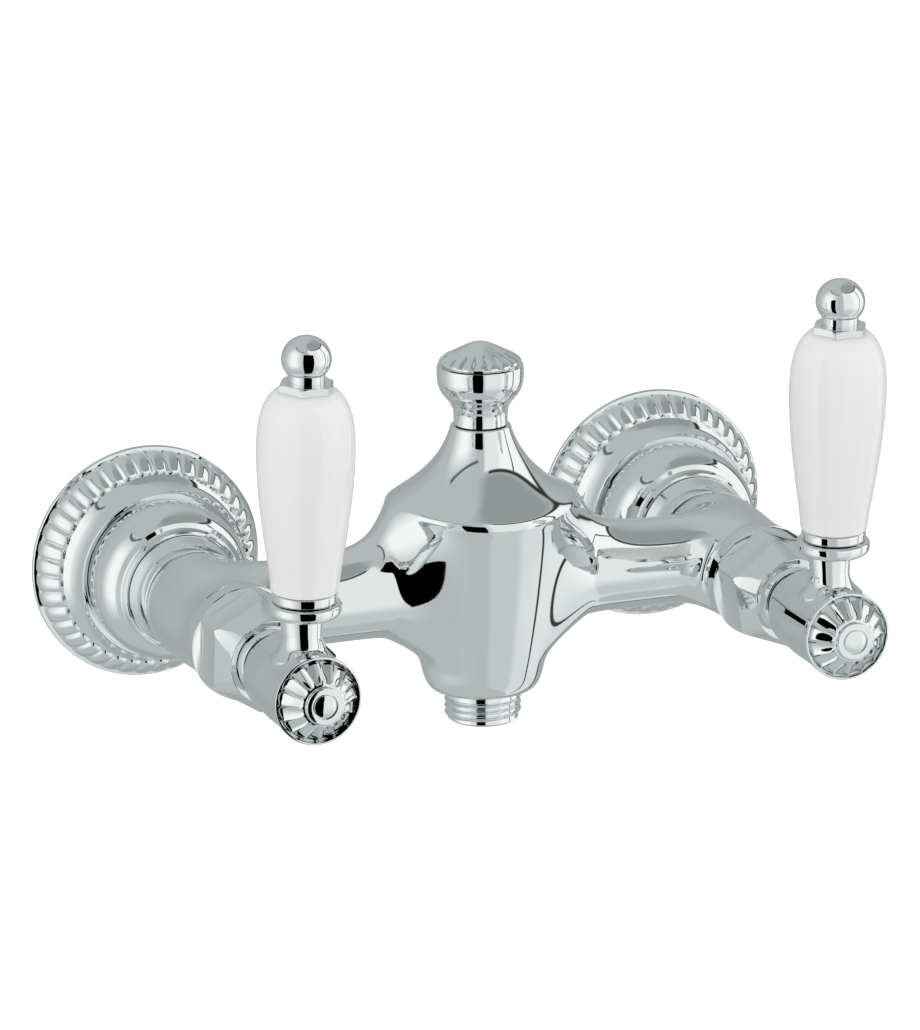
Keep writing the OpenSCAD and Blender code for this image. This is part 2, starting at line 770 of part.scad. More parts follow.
module bonnet(side) {
    turn = side == left ? left_bonnet_turn : right_bonnet_turn;
    flat = bonnet_af / 2;
    far = bonnet_r + over;
    cut = [
        [far, slope_back - over * flat_slope / (bonnet_r - flat)],
        [flat, flats_back], [flat, nose_back], [nose_r, collar_back],
        [nose_r, collar_back + over], [far, collar_back + over]
    ];
    color("silver") on_valve(side) difference() {
        union() {
            lathe([
                [0, bonnet_back], [bonnet_r, bonnet_back, 0.3], [bonnet_r, nose_back - 1.5],
                [flat + 0.2, nose_back + 1.5], [nose_r + 0.3, collar_back, 0.5], [0, collar_back]
            ]);
            shaft(bonnet_thread_r, chamber_front + free_fit, bonnet_back + over);
            shaft(skirt_r, chamber_back + 1, chamber_front + 1);
            lathe([
                [0, collar_back - over], [collar_r, collar_back - over],
                [collar_r, collar_back + collar_len * 0.4], [collar_r - 0.4, bonnet_front - 0.3],
                [collar_r - 0.7, bonnet_front], [0, bonnet_front]
            ]);
        }
        for (k = [0 : 5]) rotate(180 - turn + 60 * k) rotate([90, 0, 0])
            linear_extrude(height = 2 * bonnet_r, center = true) polygon(cut);
        shaft(shaft_r + running_fit, chamber_back, bonnet_front + over);
        shaft(skirt_bore_r, chamber_back, skirt_end);
        for (k = [0, 180]) rotate(k) translate([0, -window_w / 2, turning_disc_back])
            cube([skirt_r + over, window_w, window_len]);
    }
}

module bonnet_gasket(side) {
    color("dimgray") on_valve(side)
        ring(gasket_r, bonnet_thread_r + push_fit, gasket_back, bonnet_back);
}

module spindle(side) {
    groove = bonnet_front - o_ring_set;
    groove_half = o_ring_cord + 0.1;
    color("goldenrod") on_valve(side) difference() {
        lathe([
            [0, turning_disc_front], [disc_r, turning_disc_front],
            [disc_r, spindle_flange_front], [shaft_r, spindle_flange_front],
            [shaft_r, groove - groove_half],
            [shaft_r - 2 * o_ring_cord - 0.02, groove - groove_half],
            [shaft_r - 2 * o_ring_cord - 0.02, groove + groove_half],
            [shaft_r, groove + groove_half], [shaft_r, spline_start - 0.5],
            [spline_r, spline_start], [spline_r, spindle_front], [0, spindle_front]
        ]);
        shaft(screw_r + push_fit, screw_seat - screw_len - over, spindle_front + over);
    }
}

module spindle_o_ring(side) {
    color("black") on_valve(side) translate([0, 0, bonnet_front - o_ring_set])
        rotate_extrude() translate([shaft_r - o_ring_cord, 0]) circle(r = o_ring_cord, $fn = 24);
}

module lever_hub(side) {
    color("silver") difference() {
        union() {
            on_valve(side) lathe([
                [0, hub_back], [hub_back_r, hub_back, 0.3], [hub_back_r, hub_back + 3, 2],
                [hub_r - 0.5, hub_back + 4.6, 2.2], [hub_r, hub_back + 16, 30],
                [hub_r, hub_front - 3.2], [bead_r, hub_front - 1.8, 0.8],
                [bead_r, hub_front, 0.6], [0, hub_front]
            ]);
            on_lever(side) lathe([
                [0, 0], [stem_r + 3.6, 0], [stem_r + 3.6, hub_r - 2.6],
                [stem_r, hub_r + 1.2, 4], [stem_top_r, stem_top], [0, stem_top]
            ]);
        }
        on_valve(side) {
            shaft(spline_r + push_fit, hub_back - over, socket_end);
            shaft(screw_r + free_fit, socket_end - over, screw_seat + over);
            shaft(screw_pocket_r, screw_seat, cap_floor + over);
            shaft(front_cap_r + push_fit, cap_floor, hub_front + over);
        }
        on_lever(side) shaft(rod_r + push_fit, rod_foot, stem_top + over);
    }
}

module handle_screw(side) {
    color("gray") on_valve(side) difference() {
        union() {
            shaft(screw_head_r, screw_seat, screw_seat + screw_head);
            shaft(screw_r, screw_seat - screw_len, screw_seat + over);
        }
        hexagon(screw_head_r, screw_seat + screw_head / 2, screw_seat + screw_head + over);
    }
}

module front_cap(side) {
    color("gainsboro") on_valve(side) difference() {
        lathe([
            [0, cap_floor - plug_len], [screw_pocket_r - push_fit, cap_floor - plug_len],
            [screw_pocket_r - push_fit, cap_floor], [front_cap_r, cap_floor],
            [front_cap_r, cap_face - 0.6], [front_cap_r - 0.9, cap_face],
            [boss_r + 1.2, cap_face - cap_dish], [boss_r + 0.1, cap_face - 0.8],
            [boss_r, boss_face, 0.5], [0, boss_face]
        ]);
        shaft(button_r + push_fit, button_foot, boss_face + over);
        grooves(cap_petals, [boss_r + 1.2 + petal_groove_r, cap_face - cap_dish],
            [front_cap_r - 1.4, cap_face], 0.15, petal_groove_r * 0.6, petal_groove_r);
    }
}

module cap_button(side) {
    color("silver") on_valve(side) lathe([
        [0, button_foot], [button_r, button_foot], [button_r, boss_face, 0.3],
        [button_r * 0.6, boss_face + button_rise * 0.9, 3], [0, boss_face + button_rise]
    ]);
}

module lever_collar(side) {
    color("silver") on_lever(side) difference() {
        lathe([
            [0, stem_top], [torus_r - torus_h / 2, stem_top, 0.3],
            [torus_r, stem_top + 0.1, torus_h / 2], [torus_r, torus_top - 0.1, torus_h / 2],
            [seat_ring_r - 0.8, torus_top], [seat_ring_r - 0.2, torus_top + 0.4, 0.3],
            [seat_ring_r, torus_top + seat_ring_h / 2, 2], [seat_ring_r - 0.2, grip_foot, 0.5],
            [0, grip_foot]
        ]);
        shaft(rod_r + push_fit, stem_top - over, grip_foot + over);
    }
}

module lever_grip(side) {
    belly = grip_foot + grip_len * 0.69;
    lower = curve(
        [grip_foot_r, grip_foot + 0.4],
        [grip_foot_r + 1.3, grip_foot + grip_len * 0.17],
        [grip_r, grip_foot + grip_len * 0.42],
        [grip_r, belly], 12);
    upper = curve(
        [grip_r, belly], [grip_r, grip_foot + grip_len * 0.89],
        [grip_r - 0.8, grip_top], [grip_top_r, grip_top], 12);
    color("white") on_lever(side) difference() {
        lathe(concat(
            [[0, grip_foot], [grip_foot_r - 0.4, grip_foot]],
            lower,
            [for (k = [1 : len(upper) - 1]) upper[k]],
            [[0, grip_top]]));
        shaft(rod_r + push_fit, grip_foot - over, grip_top + over);
    }
}

module lever_rod(side) {
    color("goldenrod") on_lever(side) shaft(rod_r, rod_foot, ball_neck_top + ball_r * 0.6);
}

module grip_nut(side) {
    corner_r = grip_nut_af / 2 / cos(30);
    color("silver") on_lever(side) difference() {
        intersection() {
            hexagon(grip_nut_af, grip_top, grip_nut_top);
            lathe([
                [0, grip_top], [corner_r, grip_top], [corner_r, grip_nut_top - 0.5],
                [grip_nut_af / 2 - 0.2, grip_nut_top], [0, grip_nut_top]
            ]);
        }
        shaft(rod_r + push_fit, grip_top - over, grip_nut_top + over);
    }
}

module lever_ball(side) {
    color("silver") on_lever(side) difference() {
        union() {
            lathe([
                [0, grip_nut_top], [ball_neck_r + 0.2, grip_nut_top],
                [ball_neck_r - 0.2, grip_nut_top + ball_neck_h / 2, 1],
                [ball_neck_r - 0.1, ball_neck_top + 1], [0, ball_neck_top + 1]
            ]);
            translate([0, 0, ball_neck_top + ball_r * 0.68]) sphere(r = ball_r);
        }
        shaft(rod_r + push_fit, grip_nut_top - over, ball_neck_top + ball_r * 0.6);
    }
}

mixer_body();
shower_outlet();
top_finial();
finial_gasket();
finial_cap();
rosette(left);  // left_rosette
wall_union(left);  // left_wall_union
union_nut(left);  // left_union_nut
union_washer(left);  // left_union_washer
inlet_tail(left);  // left_inlet_tail
seat_seal(left);  // left_seat_seal
fixed_disc(left);  // left_fixed_disc
bonnet(left);  // left_bonnet
bonnet_gasket(left);  // left_bonnet_gasket
turning_disc(left);  // left_turning_disc
spindle(left);  // left_spindle
spindle_o_ring(left);  // left_spindle_o_ring
lever_hub(left);  // left_lever_hub
handle_screw(left);  // left_handle_screw
front_cap(left);  // left_front_cap
cap_button(left);  // left_cap_button
lever_collar(left);  // left_lever_collar
lever_grip(left);  // left_lever_grip
lever_rod(left);  // left_lever_rod
grip_nut(left);  // left_grip_nut
lever_ball(left);  // left_lever_ball
rosette(right);  // right_rosette
wall_union(right);  // right_wall_union
union_nut(right);  // right_union_nut
union_washer(right);  // right_union_washer
inlet_tail(right);  // right_inlet_tail
seat_seal(right);  // right_seat_seal
fixed_disc(right);  // right_fixed_disc
bonnet(right);  // right_bonnet
bonnet_gasket(right);  // right_bonnet_gasket
turning_disc(right);  // right_turning_disc
spindle(right);  // right_spindle
spindle_o_ring(right);  // right_spindle_o_ring
lever_hub(right);  // right_lever_hub
handle_screw(right);  // right_handle_screw
front_cap(right);  // right_front_cap
cap_button(right);  // right_cap_button
lever_collar(right);  // right_lever_collar
lever_grip(right);  // right_lever_grip
lever_rod(right);  // right_lever_rod
grip_nut(right);  // right_grip_nut
lever_ball(right);  // right_lever_ball
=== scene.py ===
# Looks of a wall-mounted shower mixer: chrome-plated castings and turned parts, and white
# porcelain lever grips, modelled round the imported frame. Lengths in the paths are millimetres.
import json
import math

import bmesh
import bpy
from mathutils import Matrix, Vector


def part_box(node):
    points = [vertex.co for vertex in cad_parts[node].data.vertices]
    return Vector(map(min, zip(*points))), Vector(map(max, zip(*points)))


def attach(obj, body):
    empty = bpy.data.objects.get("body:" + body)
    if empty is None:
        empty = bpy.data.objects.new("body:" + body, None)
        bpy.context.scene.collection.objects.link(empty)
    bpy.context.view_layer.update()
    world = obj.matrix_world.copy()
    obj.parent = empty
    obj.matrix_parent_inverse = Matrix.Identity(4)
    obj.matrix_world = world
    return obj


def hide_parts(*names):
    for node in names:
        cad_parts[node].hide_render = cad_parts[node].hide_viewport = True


bl_info = {
    "name": "Shower Mixer",
    "version": (1, 0, 0),
    "blender": (4, 2, 0),
    "location": "View3D > Sidebar > Mixer",
    "description": "Wall-mounted shower mixer with two porcelain levers",
    "category": "Add Mesh",
}

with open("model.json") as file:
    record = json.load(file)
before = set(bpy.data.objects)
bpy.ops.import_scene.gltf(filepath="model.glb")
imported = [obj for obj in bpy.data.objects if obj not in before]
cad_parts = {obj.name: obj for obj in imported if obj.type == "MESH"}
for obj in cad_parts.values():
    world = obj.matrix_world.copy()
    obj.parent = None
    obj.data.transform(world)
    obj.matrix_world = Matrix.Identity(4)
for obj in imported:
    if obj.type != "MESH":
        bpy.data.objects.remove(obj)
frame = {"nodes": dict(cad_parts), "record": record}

MM = 0.001
# Names of the sides and the sign of their X
SIDES = (("left", -1), ("right", 1))


def middle(node):
    """Centre of a CAD node, in millimetres."""
    low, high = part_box(node)
    return (Vector(low) + Vector(high)) / 2 / MM


COLUMN_Y = middle("top_finial").y
INLET_X = middle("right_union_nut").x
# Angle round the object from which it is seen, and for which the studio is built
VIEW_TURN = math.radians(20.7)


# Paths


def arc(a, b, c, radius, step=10):
    """Points of the arc that rounds the corner b between a and c."""
    a, b, c = Vector(a), Vector(b), Vector(c)
    to_a, to_c = (a - b).normalized(), (c - b).normalized()
    half = to_a.angle(to_c) / 2
    room = 0.49 * min((a - b).length, (c - b).length)
    radius = min(radius, room * math.tan(half))
    centre = b + (to_a + to_c).normalized() * radius / math.sin(half)
    first = b + to_a * radius / math.tan(half) - centre
    last = b + to_c * radius / math.tan(half) - centre
    sweep = math.pi - 2 * half
    count = max(1, math.ceil(math.degrees(sweep) / step))
    out = []
    for k in range(count + 1):
        t = k / count
        blend = math.sin(sweep * (1 - t)) * first + math.sin(sweep * t) * last
        out.append(tuple(centre + blend / math.sin(sweep)))
    return out


def rounded(path, step=10):
    """Path whose points with a third number have their corner rounded by that radius."""
    out = []
    for i, point in enumerate(path):
        if len(point) > 2:
            before, after = path[i - 1][:2], path[(i + 1) % len(path)][:2]
            out += arc(before, point[:2], after, point[2], step)
        else:
            out.append(tuple(point))
    return out


def flowing(points, steps=4):
    """Smooth curve through the points."""
    ends = [points[0]] + list(points) + [points[-1]]
    out = []
    for a, b, c, d in zip(ends, ends[1:], ends[2:], ends[3:]):
        a, b, c, d = Vector(a), Vector(b), Vector(c), Vector(d)
        for k in range(steps):
            t = k / steps
            out.append(tuple(0.5 * (2 * b + (c - a) * t + (2 * a - 5 * b + 4 * c - d) * t * t
                                    + (3 * b - a - 3 * c + d) * t ** 3)))
    return out + [tuple(points[-1])]


def height_on(line, x):
    """Height of a line of points at x."""
    for (x0, z0), (x1, z1) in zip(line, line[1:]):
        if x0 <= x <= x1 and x1 > x0:
            return z0 + (z1 - z0) * (x - x0) / (x1 - x0)
    return line[0][1] if x < line[0][0] else line[-1][1]


# Modelling


def only(obj):
    """Selects one object alone."""
    bpy.ops.object.select_all(action="DESELECT")
    obj.select_set(True)
    bpy.context.view_layer.objects.active = obj


def edit(obj):
    """Opens one object in edit mode, to pick its vertices."""
    only(obj)
    bpy.ops.object.mode_set(mode="EDIT")
    bpy.ops.mesh.select_mode(type="VERT")


def leave():
    bpy.ops.object.mode_set(mode="OBJECT")


def pick(obj, test):
    """Selects, in edit mode, the vertices whose place in millimetres passes the test."""
    mesh = bmesh.from_edit_mesh(obj.data)
    for vert in mesh.verts:
        vert.select = test(vert.co / MM)
    mesh.select_flush_mode()
    bmesh.update_edit_mesh(obj.data)


def picked(obj):
    """Places of the selected vertices, in millimetres."""
    mesh = bmesh.from_edit_mesh(obj.data)
    return [vert.co / MM for vert in mesh.verts if vert.select]


def near(place, reach=0.02):
    """A test for pick, of what lies close to a place."""
    return lambda co: (co - Vector(place)).length < reach


def shift(step):
    """Moves what is picked."""
    bpy.ops.transform.translate(value=Vector(step) * MM)


def grow(by, centre=(0, 0, 0)):
    """Resizes what is picked about a centre."""
    bpy.ops.transform.resize(value=by, center_override=Vector(centre) * MM)


def draw(name, path):
    """A chain of edges along a path of (radius, height), from a plane drawn to one point."""
    bpy.ops.object.select_all(action="DESELECT")
    bpy.ops.mesh.primitive_plane_add(size=MM)
    obj = bpy.context.object
    obj.name = obj.data.name = name
    edit(obj)
    bpy.ops.mesh.merge(type="CENTER")
    shift((path[0][0], 0, path[0][1]))
    for (r0, z0), (r1, z1) in zip(path, path[1:]):
        step = Vector((r1 - r0, 0, z1 - z0)) * MM
        bpy.ops.mesh.extrude_vertices_move(TRANSFORM_OT_translate={"value": step})
    return obj


def spin(turn, steps, copies=False):
    """Sweeps the whole mesh about Z, or copies it round."""
    bpy.ops.mesh.select_all(action="SELECT")
    bpy.ops.mesh.spin(steps=steps, angle=math.radians(turn), dupli=copies,
                      center=(0, 0, 0), axis=(0, 0, 1))


def open_up(obj, test):
    """Deletes, in edit mode, the faces whose middle in millimetres passes the test."""
    bpy.ops.mesh.select_mode(type="FACE")
    mesh = bmesh.from_edit_mesh(obj.data)
    for face in mesh.faces:
        face.select_set(test(face.calc_center_median() / MM))
    bmesh.update_edit_mesh(obj.data)
    bpy.ops.mesh.delete(type="FACE")
    bpy.ops.mesh.select_mode(type="VERT")


def close_up():
    """Merges seams and poles and turns all faces outwards."""
    bpy.ops.mesh.select_all(action="SELECT")
    bpy.ops.mesh.remove_doubles(threshold=0.002 * MM)
    bpy.ops.mesh.normals_make_consistent(inside=False)


def apply(obj, kind, **settings):
    """Adds a modifier and applies it."""
    only(obj)
    bpy.ops.object.modifier_add(type=kind)
    modifier = obj.modifiers[-1]
    for name, value in settings.items():
        setattr(modifier, name, value)
    bpy.ops.object.modifier_apply(modifier=modifier.name)


def polish(obj, angle=30):
    """Smooth shading up to an angle, steadied over the flat faces."""
    only(obj)
    bpy.ops.object.shade_smooth_by_angle(angle=math.radians(angle))
    apply(obj, "WEIGHTED_NORMAL", keep_sharp=True)
    return obj


def turned(name, path, steps=72, angle=30):
    """A turned piece about Z."""
    obj = draw(name, path)
    spin(360, steps)
    close_up()
    leave()
    return polish(obj, angle)


def settle(obj, where, turn=(0, 0, 0)):
    """Brings a finished piece to its place, in its mesh."""
    only(obj)
    obj.rotation_euler = [math.radians(t) for t in turn]
    obj.location = Vector(where) * MM
    bpy.ops.object.transform_apply(location=True, rotation=True, scale=True)
    return obj


def on_column(obj):
    """Sets a piece drawn about Z on the column's axis."""
    return settle(obj, (0, COLUMN_Y, 0))


def on_valve(obj, side):
    """Sets a piece on a valve's axis, so that its Z runs out of the wall and its Y up."""
    return settle(obj, (side * INLET_X, 0, 0), (90, 0, 0))


def on_lever(obj, side):
    """Sets a piece on a lever's tilted axis."""
    sizes = bpy.context.scene.mixer_sizes
    depth = sizes.lever_depth / MM
    return settle(obj, (side * INLET_X, -depth, 0), (math.degrees(sizes.lever_tilt), 0, 0))


def twin(obj, name):
    """A copy with its own mesh."""
    only(obj)
    bpy.ops.object.duplicate(linked=False)
    copy = bpy.context.object
    copy.name = copy.data.name = name
    return copy


def hexagon(flat, length, centre, turn=0):
    """A hexagonal prism about Z, whose flats lie at the distance flat from the axis."""
    bpy.ops.object.select_all(action="DESELECT")
    bpy.ops.mesh.primitive_cylinder_add(
        vertices=6, radius=flat / math.cos(math.radians(30)) * MM, depth=length * MM,
        location=(0, 0, centre * MM), rotation=(0, 0, math.radians(turn)))
    return bpy.context.object


def join(name, *parts):
    """Makes one object of several."""
    bpy.ops.object.select_all(action="DESELECT")
    for part in parts:
        part.select_set(True)
    bpy.context.view_layer.objects.active = parts[0]
    bpy.ops.object.join()
    parts[0].name = parts[0].data.name = name
    return parts[0]


def cut(obj, tool, operation):
    """Boolean of the piece with a tool, which is then removed."""
    apply(obj, "BOOLEAN", operation=operation, object=tool, solver="EXACT")
    only(tool)
    bpy.ops.object.delete()
    return obj


def dress(obj, slot, body, node):
    """Gives a piece its material, its body, and the CAD node that it stands for."""
    obj.data.materials.clear()
    obj.data.materials.append(finish(slot))
    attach(obj, body)
    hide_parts(node)


def pair(make, stem, place, slot, body):
    """The same piece on the left and on the right. {} in body stands for the side."""
    first = make("left_" + stem + "_form")
    second = twin(first, "right_" + stem + "_form")
    for obj, (name, side) in zip((first, second), SIDES):
        place(obj, side)
        dress(obj, slot, body.format(name), name + "_" + stem)


# Materials


def linear(hex_colour):
    """Linear RGBA of an sRGB hex value."""
    out = []
    for k in (1, 3, 5):
        v = int(hex_colour[k:k + 2], 16) / 255
        out.append(v / 12.92 if v <= 0.04045 else ((v + 0.055) / 1.055) ** 2.4)
    return (*out, 1.0)


def add(tree, kind, settings=None, **inputs):
    """Adds a node with its settings, and its inputs as values or links. _0 names the first
    input, and a node that is given as an input is linked from its first output."""
    node = tree.nodes.new(kind)
    for name, value in (settings or {}).items():
        setattr(node, name, value)
    for name, value in inputs.items():
        key = int(name[1:]) if name[0] == "_" else name.replace("_", " ")
        socket = node.inputs[key]
        if isinstance(value, bpy.types.Node):
            value = value.outputs[0]
        if isinstance(value, bpy.types.NodeSocket):
            tree.links.new(value, socket)
        else:
            socket.default_value = value
    return node


def principled(name):
    """A new material, its tree and its shader."""
    material = bpy.data.materials.new(name)
    material.use_nodes = True
    tree = material.node_tree
    return material, tree, tree.nodes["Principled BSDF"]


def speckled(tree, size, low, high):
    """A value that wanders between two levels over a distance of size millimetres."""
    place = add(tree, "ShaderNodeTexCoord")
    noise = add(tree, "ShaderNodeTexNoise", Vector=place.outputs["Object"],
                Scale=1 / (size * MM), Detail=2.0)
    spread = add(tree, "ShaderNodeMapRange", Value=noise, From_Min=0.3, From_Max=0.7,
                 To_Min=low, To_Max=high)
    return spread.outputs["Result"]


def chrome_plate():
    # Bright chrome over polished brass: a mirror with a faint cool tone, and next to no haze.
    material, tree, shader = principled("polished chrome plate")
    shader.inputs["Base Color"].default_value = linear("#E6E9E9")
    shader.inputs["Metallic"].default_value = 1.0
    tree.links.new(speckled(tree, 9, 0.025, 0.04), shader.inputs["Roughness"])
    return material


def glazed_porcelain():
    # Fired white clay under a clear glaze: soft white body, a sharp thin gloss on top.
    material, tree, shader = principled("glazed white porcelain")
    shader.inputs["Base Color"].default_value = linear("#F4F4F4")
    shader.inputs["IOR"].default_value = 1.5
    tree.links.new(speckled(tree, 14, 0.1, 0.13), shader.inputs["Roughness"])
    return material


def turned_brass():
    # Free-cutting brass as it comes off the lathe: warm yellow, with an uneven half gloss.
    material, tree, shader = principled("turned brass")
    shader.inputs["Base Color"].default_value = linear("#D8B56A")
    shader.inputs["Metallic"].default_value = 1.0
    tree.links.new(speckled(tree, 1.2, 0.22, 0.34), shader.inputs["Roughness"])
    return material


def zinc_steel():
    # Zinc-plated steel: pale blue-grey metal with a soft sheen.
    material, tree, shader = principled("zinc-plated steel")
    shader.inputs["Base Color"].default_value = linear("#B9BDC2")
    shader.inputs["Metallic"].default_value = 1.0
    tree.links.new(speckled(tree, 2, 0.3, 0.42), shader.inputs["Roughness"])
    return material


def nitrile_rubber():
    # Moulded nitrile rubber: near black and dull, with a faint bloom.
    material, tree, shader = principled("moulded nitrile rubber")
    shader.inputs["Base Color"].default_value = linear("#1D1D1E")
    shader.inputs["IOR"].default_value = 1.52
    tree.links.new(speckled(tree, 1.5, 0.6, 0.75), shader.inputs["Roughness"])
    return material


def lapped_ceramic():
    # Lapped alumina ceramic: ivory white, with a satin surface ground flat.
    material, tree, shader = principled("lapped alumina ceramic")
    shader.inputs["Base Color"].default_value = linear("#EAE6DC")
    shader.inputs["IOR"].default_value = 1.76
    tree.links.new(speckled(tree, 1, 0.28, 0.38), shader.inputs["Roughness"])
    return material


FINISHES = {
    "chrome": chrome_plate, "porcelain": glazed_porcelain, "brass": turned_brass,
    "steel": zinc_steel, "rubber": nitrile_rubber, "ceramic": lapped_ceramic,
}
made = {}


def finish(slot):
    """The material of a slot, made once."""
    if slot not in made:
        made[slot] = FINISHES[slot]()
    return made[slot]


# Sizes


class MixerSizes(bpy.types.PropertyGroup):
    ribs: bpy.props.IntProperty(
        name="Rosette ribs", description="Ribs round a rosette's band", default=40, min=24, max=60)
    petals: bpy.props.IntProperty(
        name="Cap petals", description="Scooped petals round a front cap", default=16, min=12, max=30)
    flutes: bpy.props.IntProperty(
        name="Crown flutes", description="Flutes round the finial's cap", default=18, min=12, max=24)
    rib_relief: bpy.props.FloatProperty(
        name="Rib relief", description="Height of a rosette's rib above the grooves beside it",
        default=0.85 * MM, unit="LENGTH")
    petal_relief: bpy.props.FloatProperty(
        name="Petal relief", description="Depth of the scoops between a front cap's ridges",
        default=0.7 * MM, unit="LENGTH")
    flute_relief: bpy.props.FloatProperty(
        name="Flute relief", description="Depth of the grooves on the finial's cap",
        default=0.8 * MM, unit="LENGTH")
    thread_pitch: bpy.props.FloatProperty(
        name="Thread pitch", description="Pitch of the half inch pipe thread",
        default=1.814 * MM, unit="LENGTH")
    lever_depth: bpy.props.FloatProperty(
        name="Lever depth", description="Distance of the levers from the wall",
        default=128.7 * MM, unit="LENGTH")
    lever_tilt: bpy.props.FloatProperty(
        name="Lever tilt", description="Tilt of the levers away from the wall",
        default=math.radians(3.4), unit="ROTATION")
    left_bonnet_turn: bpy.props.FloatProperty(
        name="Left bonnet turn", description="Angle at which the left bonnet came to rest",
        default=math.radians(32), unit="ROTATION")
    right_bonnet_turn: bpy.props.FloatProperty(
        name="Right bonnet turn", description="Angle at which the right bonnet came to rest",
        default=math.radians(21), unit="ROTATION")


class MixerStudio(bpy.types.PropertyGroup):
    floor_drop: bpy.props.FloatProperty(
        name="Floor drop", description="Distance of the floor below the inlets",
        default=0.34, unit="LENGTH")
    surround: bpy.props.FloatProperty(
        name="Surround", description="Brightness of the grey studio round the panels", default=0.585)
    panel: bpy.props.FloatProperty(
        name="Panels", description="Brightness of the two white panels", default=1.12)
    fill: bpy.props.FloatProperty(
        name="Fill", description="Brightness of the soft fill light", default=0.25)
    floor_colour: bpy.props.FloatVectorProperty(
        name="Floor colour", description="Colour of the pale floor", subtype="COLOR", size=4,
        default=linear("#EDEDED"), min=0, max=1)


# Pieces

# Points of the column's and the arms' rings, and of the barrels'
RING_POINTS, BARREL_POINTS = 16, 12
RING_TURN = 360 / RING_POINTS
# Angles of the barrel's points round the arm's mouth, and the even turn between its others
MOUTH_ANGLES = (90, 56, 22, -12, -46)
BARREL_TURN = 28

# Control radius of a ring that Subdivision Surface rounds to a circle of radius 1
RING_SHARE = 3 / (2 + math.cos(math.radians(RING_TURN)))
BARREL_SHARE = 3 / (2 + math.cos(math.radians(BARREL_TURN)))

ARM_Z = 3.0

# Radius and height of the column's rings, from the outlet up to the bell's neck
COLUMN_RINGS = [
    (10.8, -27.2), (13.9, -26.9), (15.8, -24.7), (16.8, -20.5), (17.8, -16), (19.9, -4.5),
    (21.6, 6), (23.4, 16), (24.9, 23.6), (25.7, 25.9), (24.7, 27.5), (20.9, 30), (17.5, 32.6),
    (13.3, 36.7), (10.3, 41.3), (8.7, 45.2), (8.35, 46.6), (8.15, 47.25), (7.3, 47.4),
]
# Distance from the wall and radius of the barrel's rings
BARREL_ROWS = [
    (42.5, 11.6), (42.6, 13.2), (43.6, 14.6), (46.2, 15.1), (51.2, 15.1), (57.35, 15.0),
    (63.5, 14.7), (69.65, 14.35), (75.8, 14.6), (78.8, 14.95), (79.9, 15.05), (80.0, 14.6),
]
# The rows between which the arm's mouth lies
MOUTH_ROWS = BARREL_ROWS[4:9]

# Towards the arms the rim's underside rises, so that the bell flows into the arm's top. Radius
# and height of each ring there, its share of the saddle, and its points' way out and up
RIM_ROWS = [
    (24.9, 23.6, 0.8, 2.1, 2.6), (25.7, 25.9, 1, 0.6, 1.1), (24.7, 27.5, 0.85, 0.2, 0.3),
    (20.9, 30, 0.3, 0, 0),
]


def saddle(angle):
    """Rise of the bell's rim towards the arms and its fall at the front and back."""
    return 2.6 * math.cos(angle) ** 2 - 1.7


def column_cage():
    """Cage of the right half of the column and its bell, about Z."""
    radius, base = COLUMN_RINGS[0]
    bpy.ops.mesh.primitive_circle_add(
        vertices=RING_POINTS, radius=radius * RING_SHARE * MM, fill_type="TRIFAN",
        location=(0, 0, 0))
    cage = bpy.context.object
    edit(cage)
    shift((0, 0, base))
    pick(cage, lambda co: math.hypot(co.x, co.y) > 1)
    for (r0, z0), (r1, z1) in zip(COLUMN_RINGS, COLUMN_RINGS[1:]):
        bpy.ops.mesh.extrude_region_move(
            TRANSFORM_OT_translate={"value": (0, 0, (z1 - z0) * MM)})
        grow((r1 / r0, r1 / r0, 1), (0, 0, z1))
    bpy.ops.mesh.extrude_region_move()
    bpy.ops.mesh.merge(type="CENTER")
    for radius, height, share, out, rise in RIM_ROWS:
        for k in range(RING_POINTS):
            angle = math.radians(RING_TURN * k)
            r = radius * RING_SHARE
            pick(cage, near((r * math.cos(angle), r * math.sin(angle), height), 0.3))
            near_arm = max(0, 2 * math.cos(angle) ** 2 - 1)
            shift((math.copysign(out * near_arm, math.cos(angle)), 0,
                   share * saddle(angle) + rise * near_arm))
    pick(cage, lambda co: co.x < -0.05)
    bpy.ops.mesh.delete(type="VERT")
    # The mouth where the arm grows out
    low, high, half_turn = -15.9, 23.5, math.radians(45)
    open_up(cage, lambda co: abs(math.atan2(co.y, co.x)) < half_turn and low < co.z < high)
    return cage


def barrel_angle(k):
    """Angle round the barrel from the side of the column, in degrees, of its point k."""
    last = len(MOUTH_ANGLES) - 1
    return MOUTH_ANGLES[k] if k <= last else MOUTH_ANGLES[last] - BARREL_TURN * (k - last)


def in_mouth(co):
    """Whether a place on the right barrel lies in the arm's mouth."""
    angle = math.degrees(math.atan2(co.z, INLET_X - co.x))
    return (MOUTH_ANGLES[-1] < angle < MOUTH_ANGLES[0]
            and MOUTH_ROWS[0][0] < -COLUMN_Y - co.y < MOUTH_ROWS[-1][0])


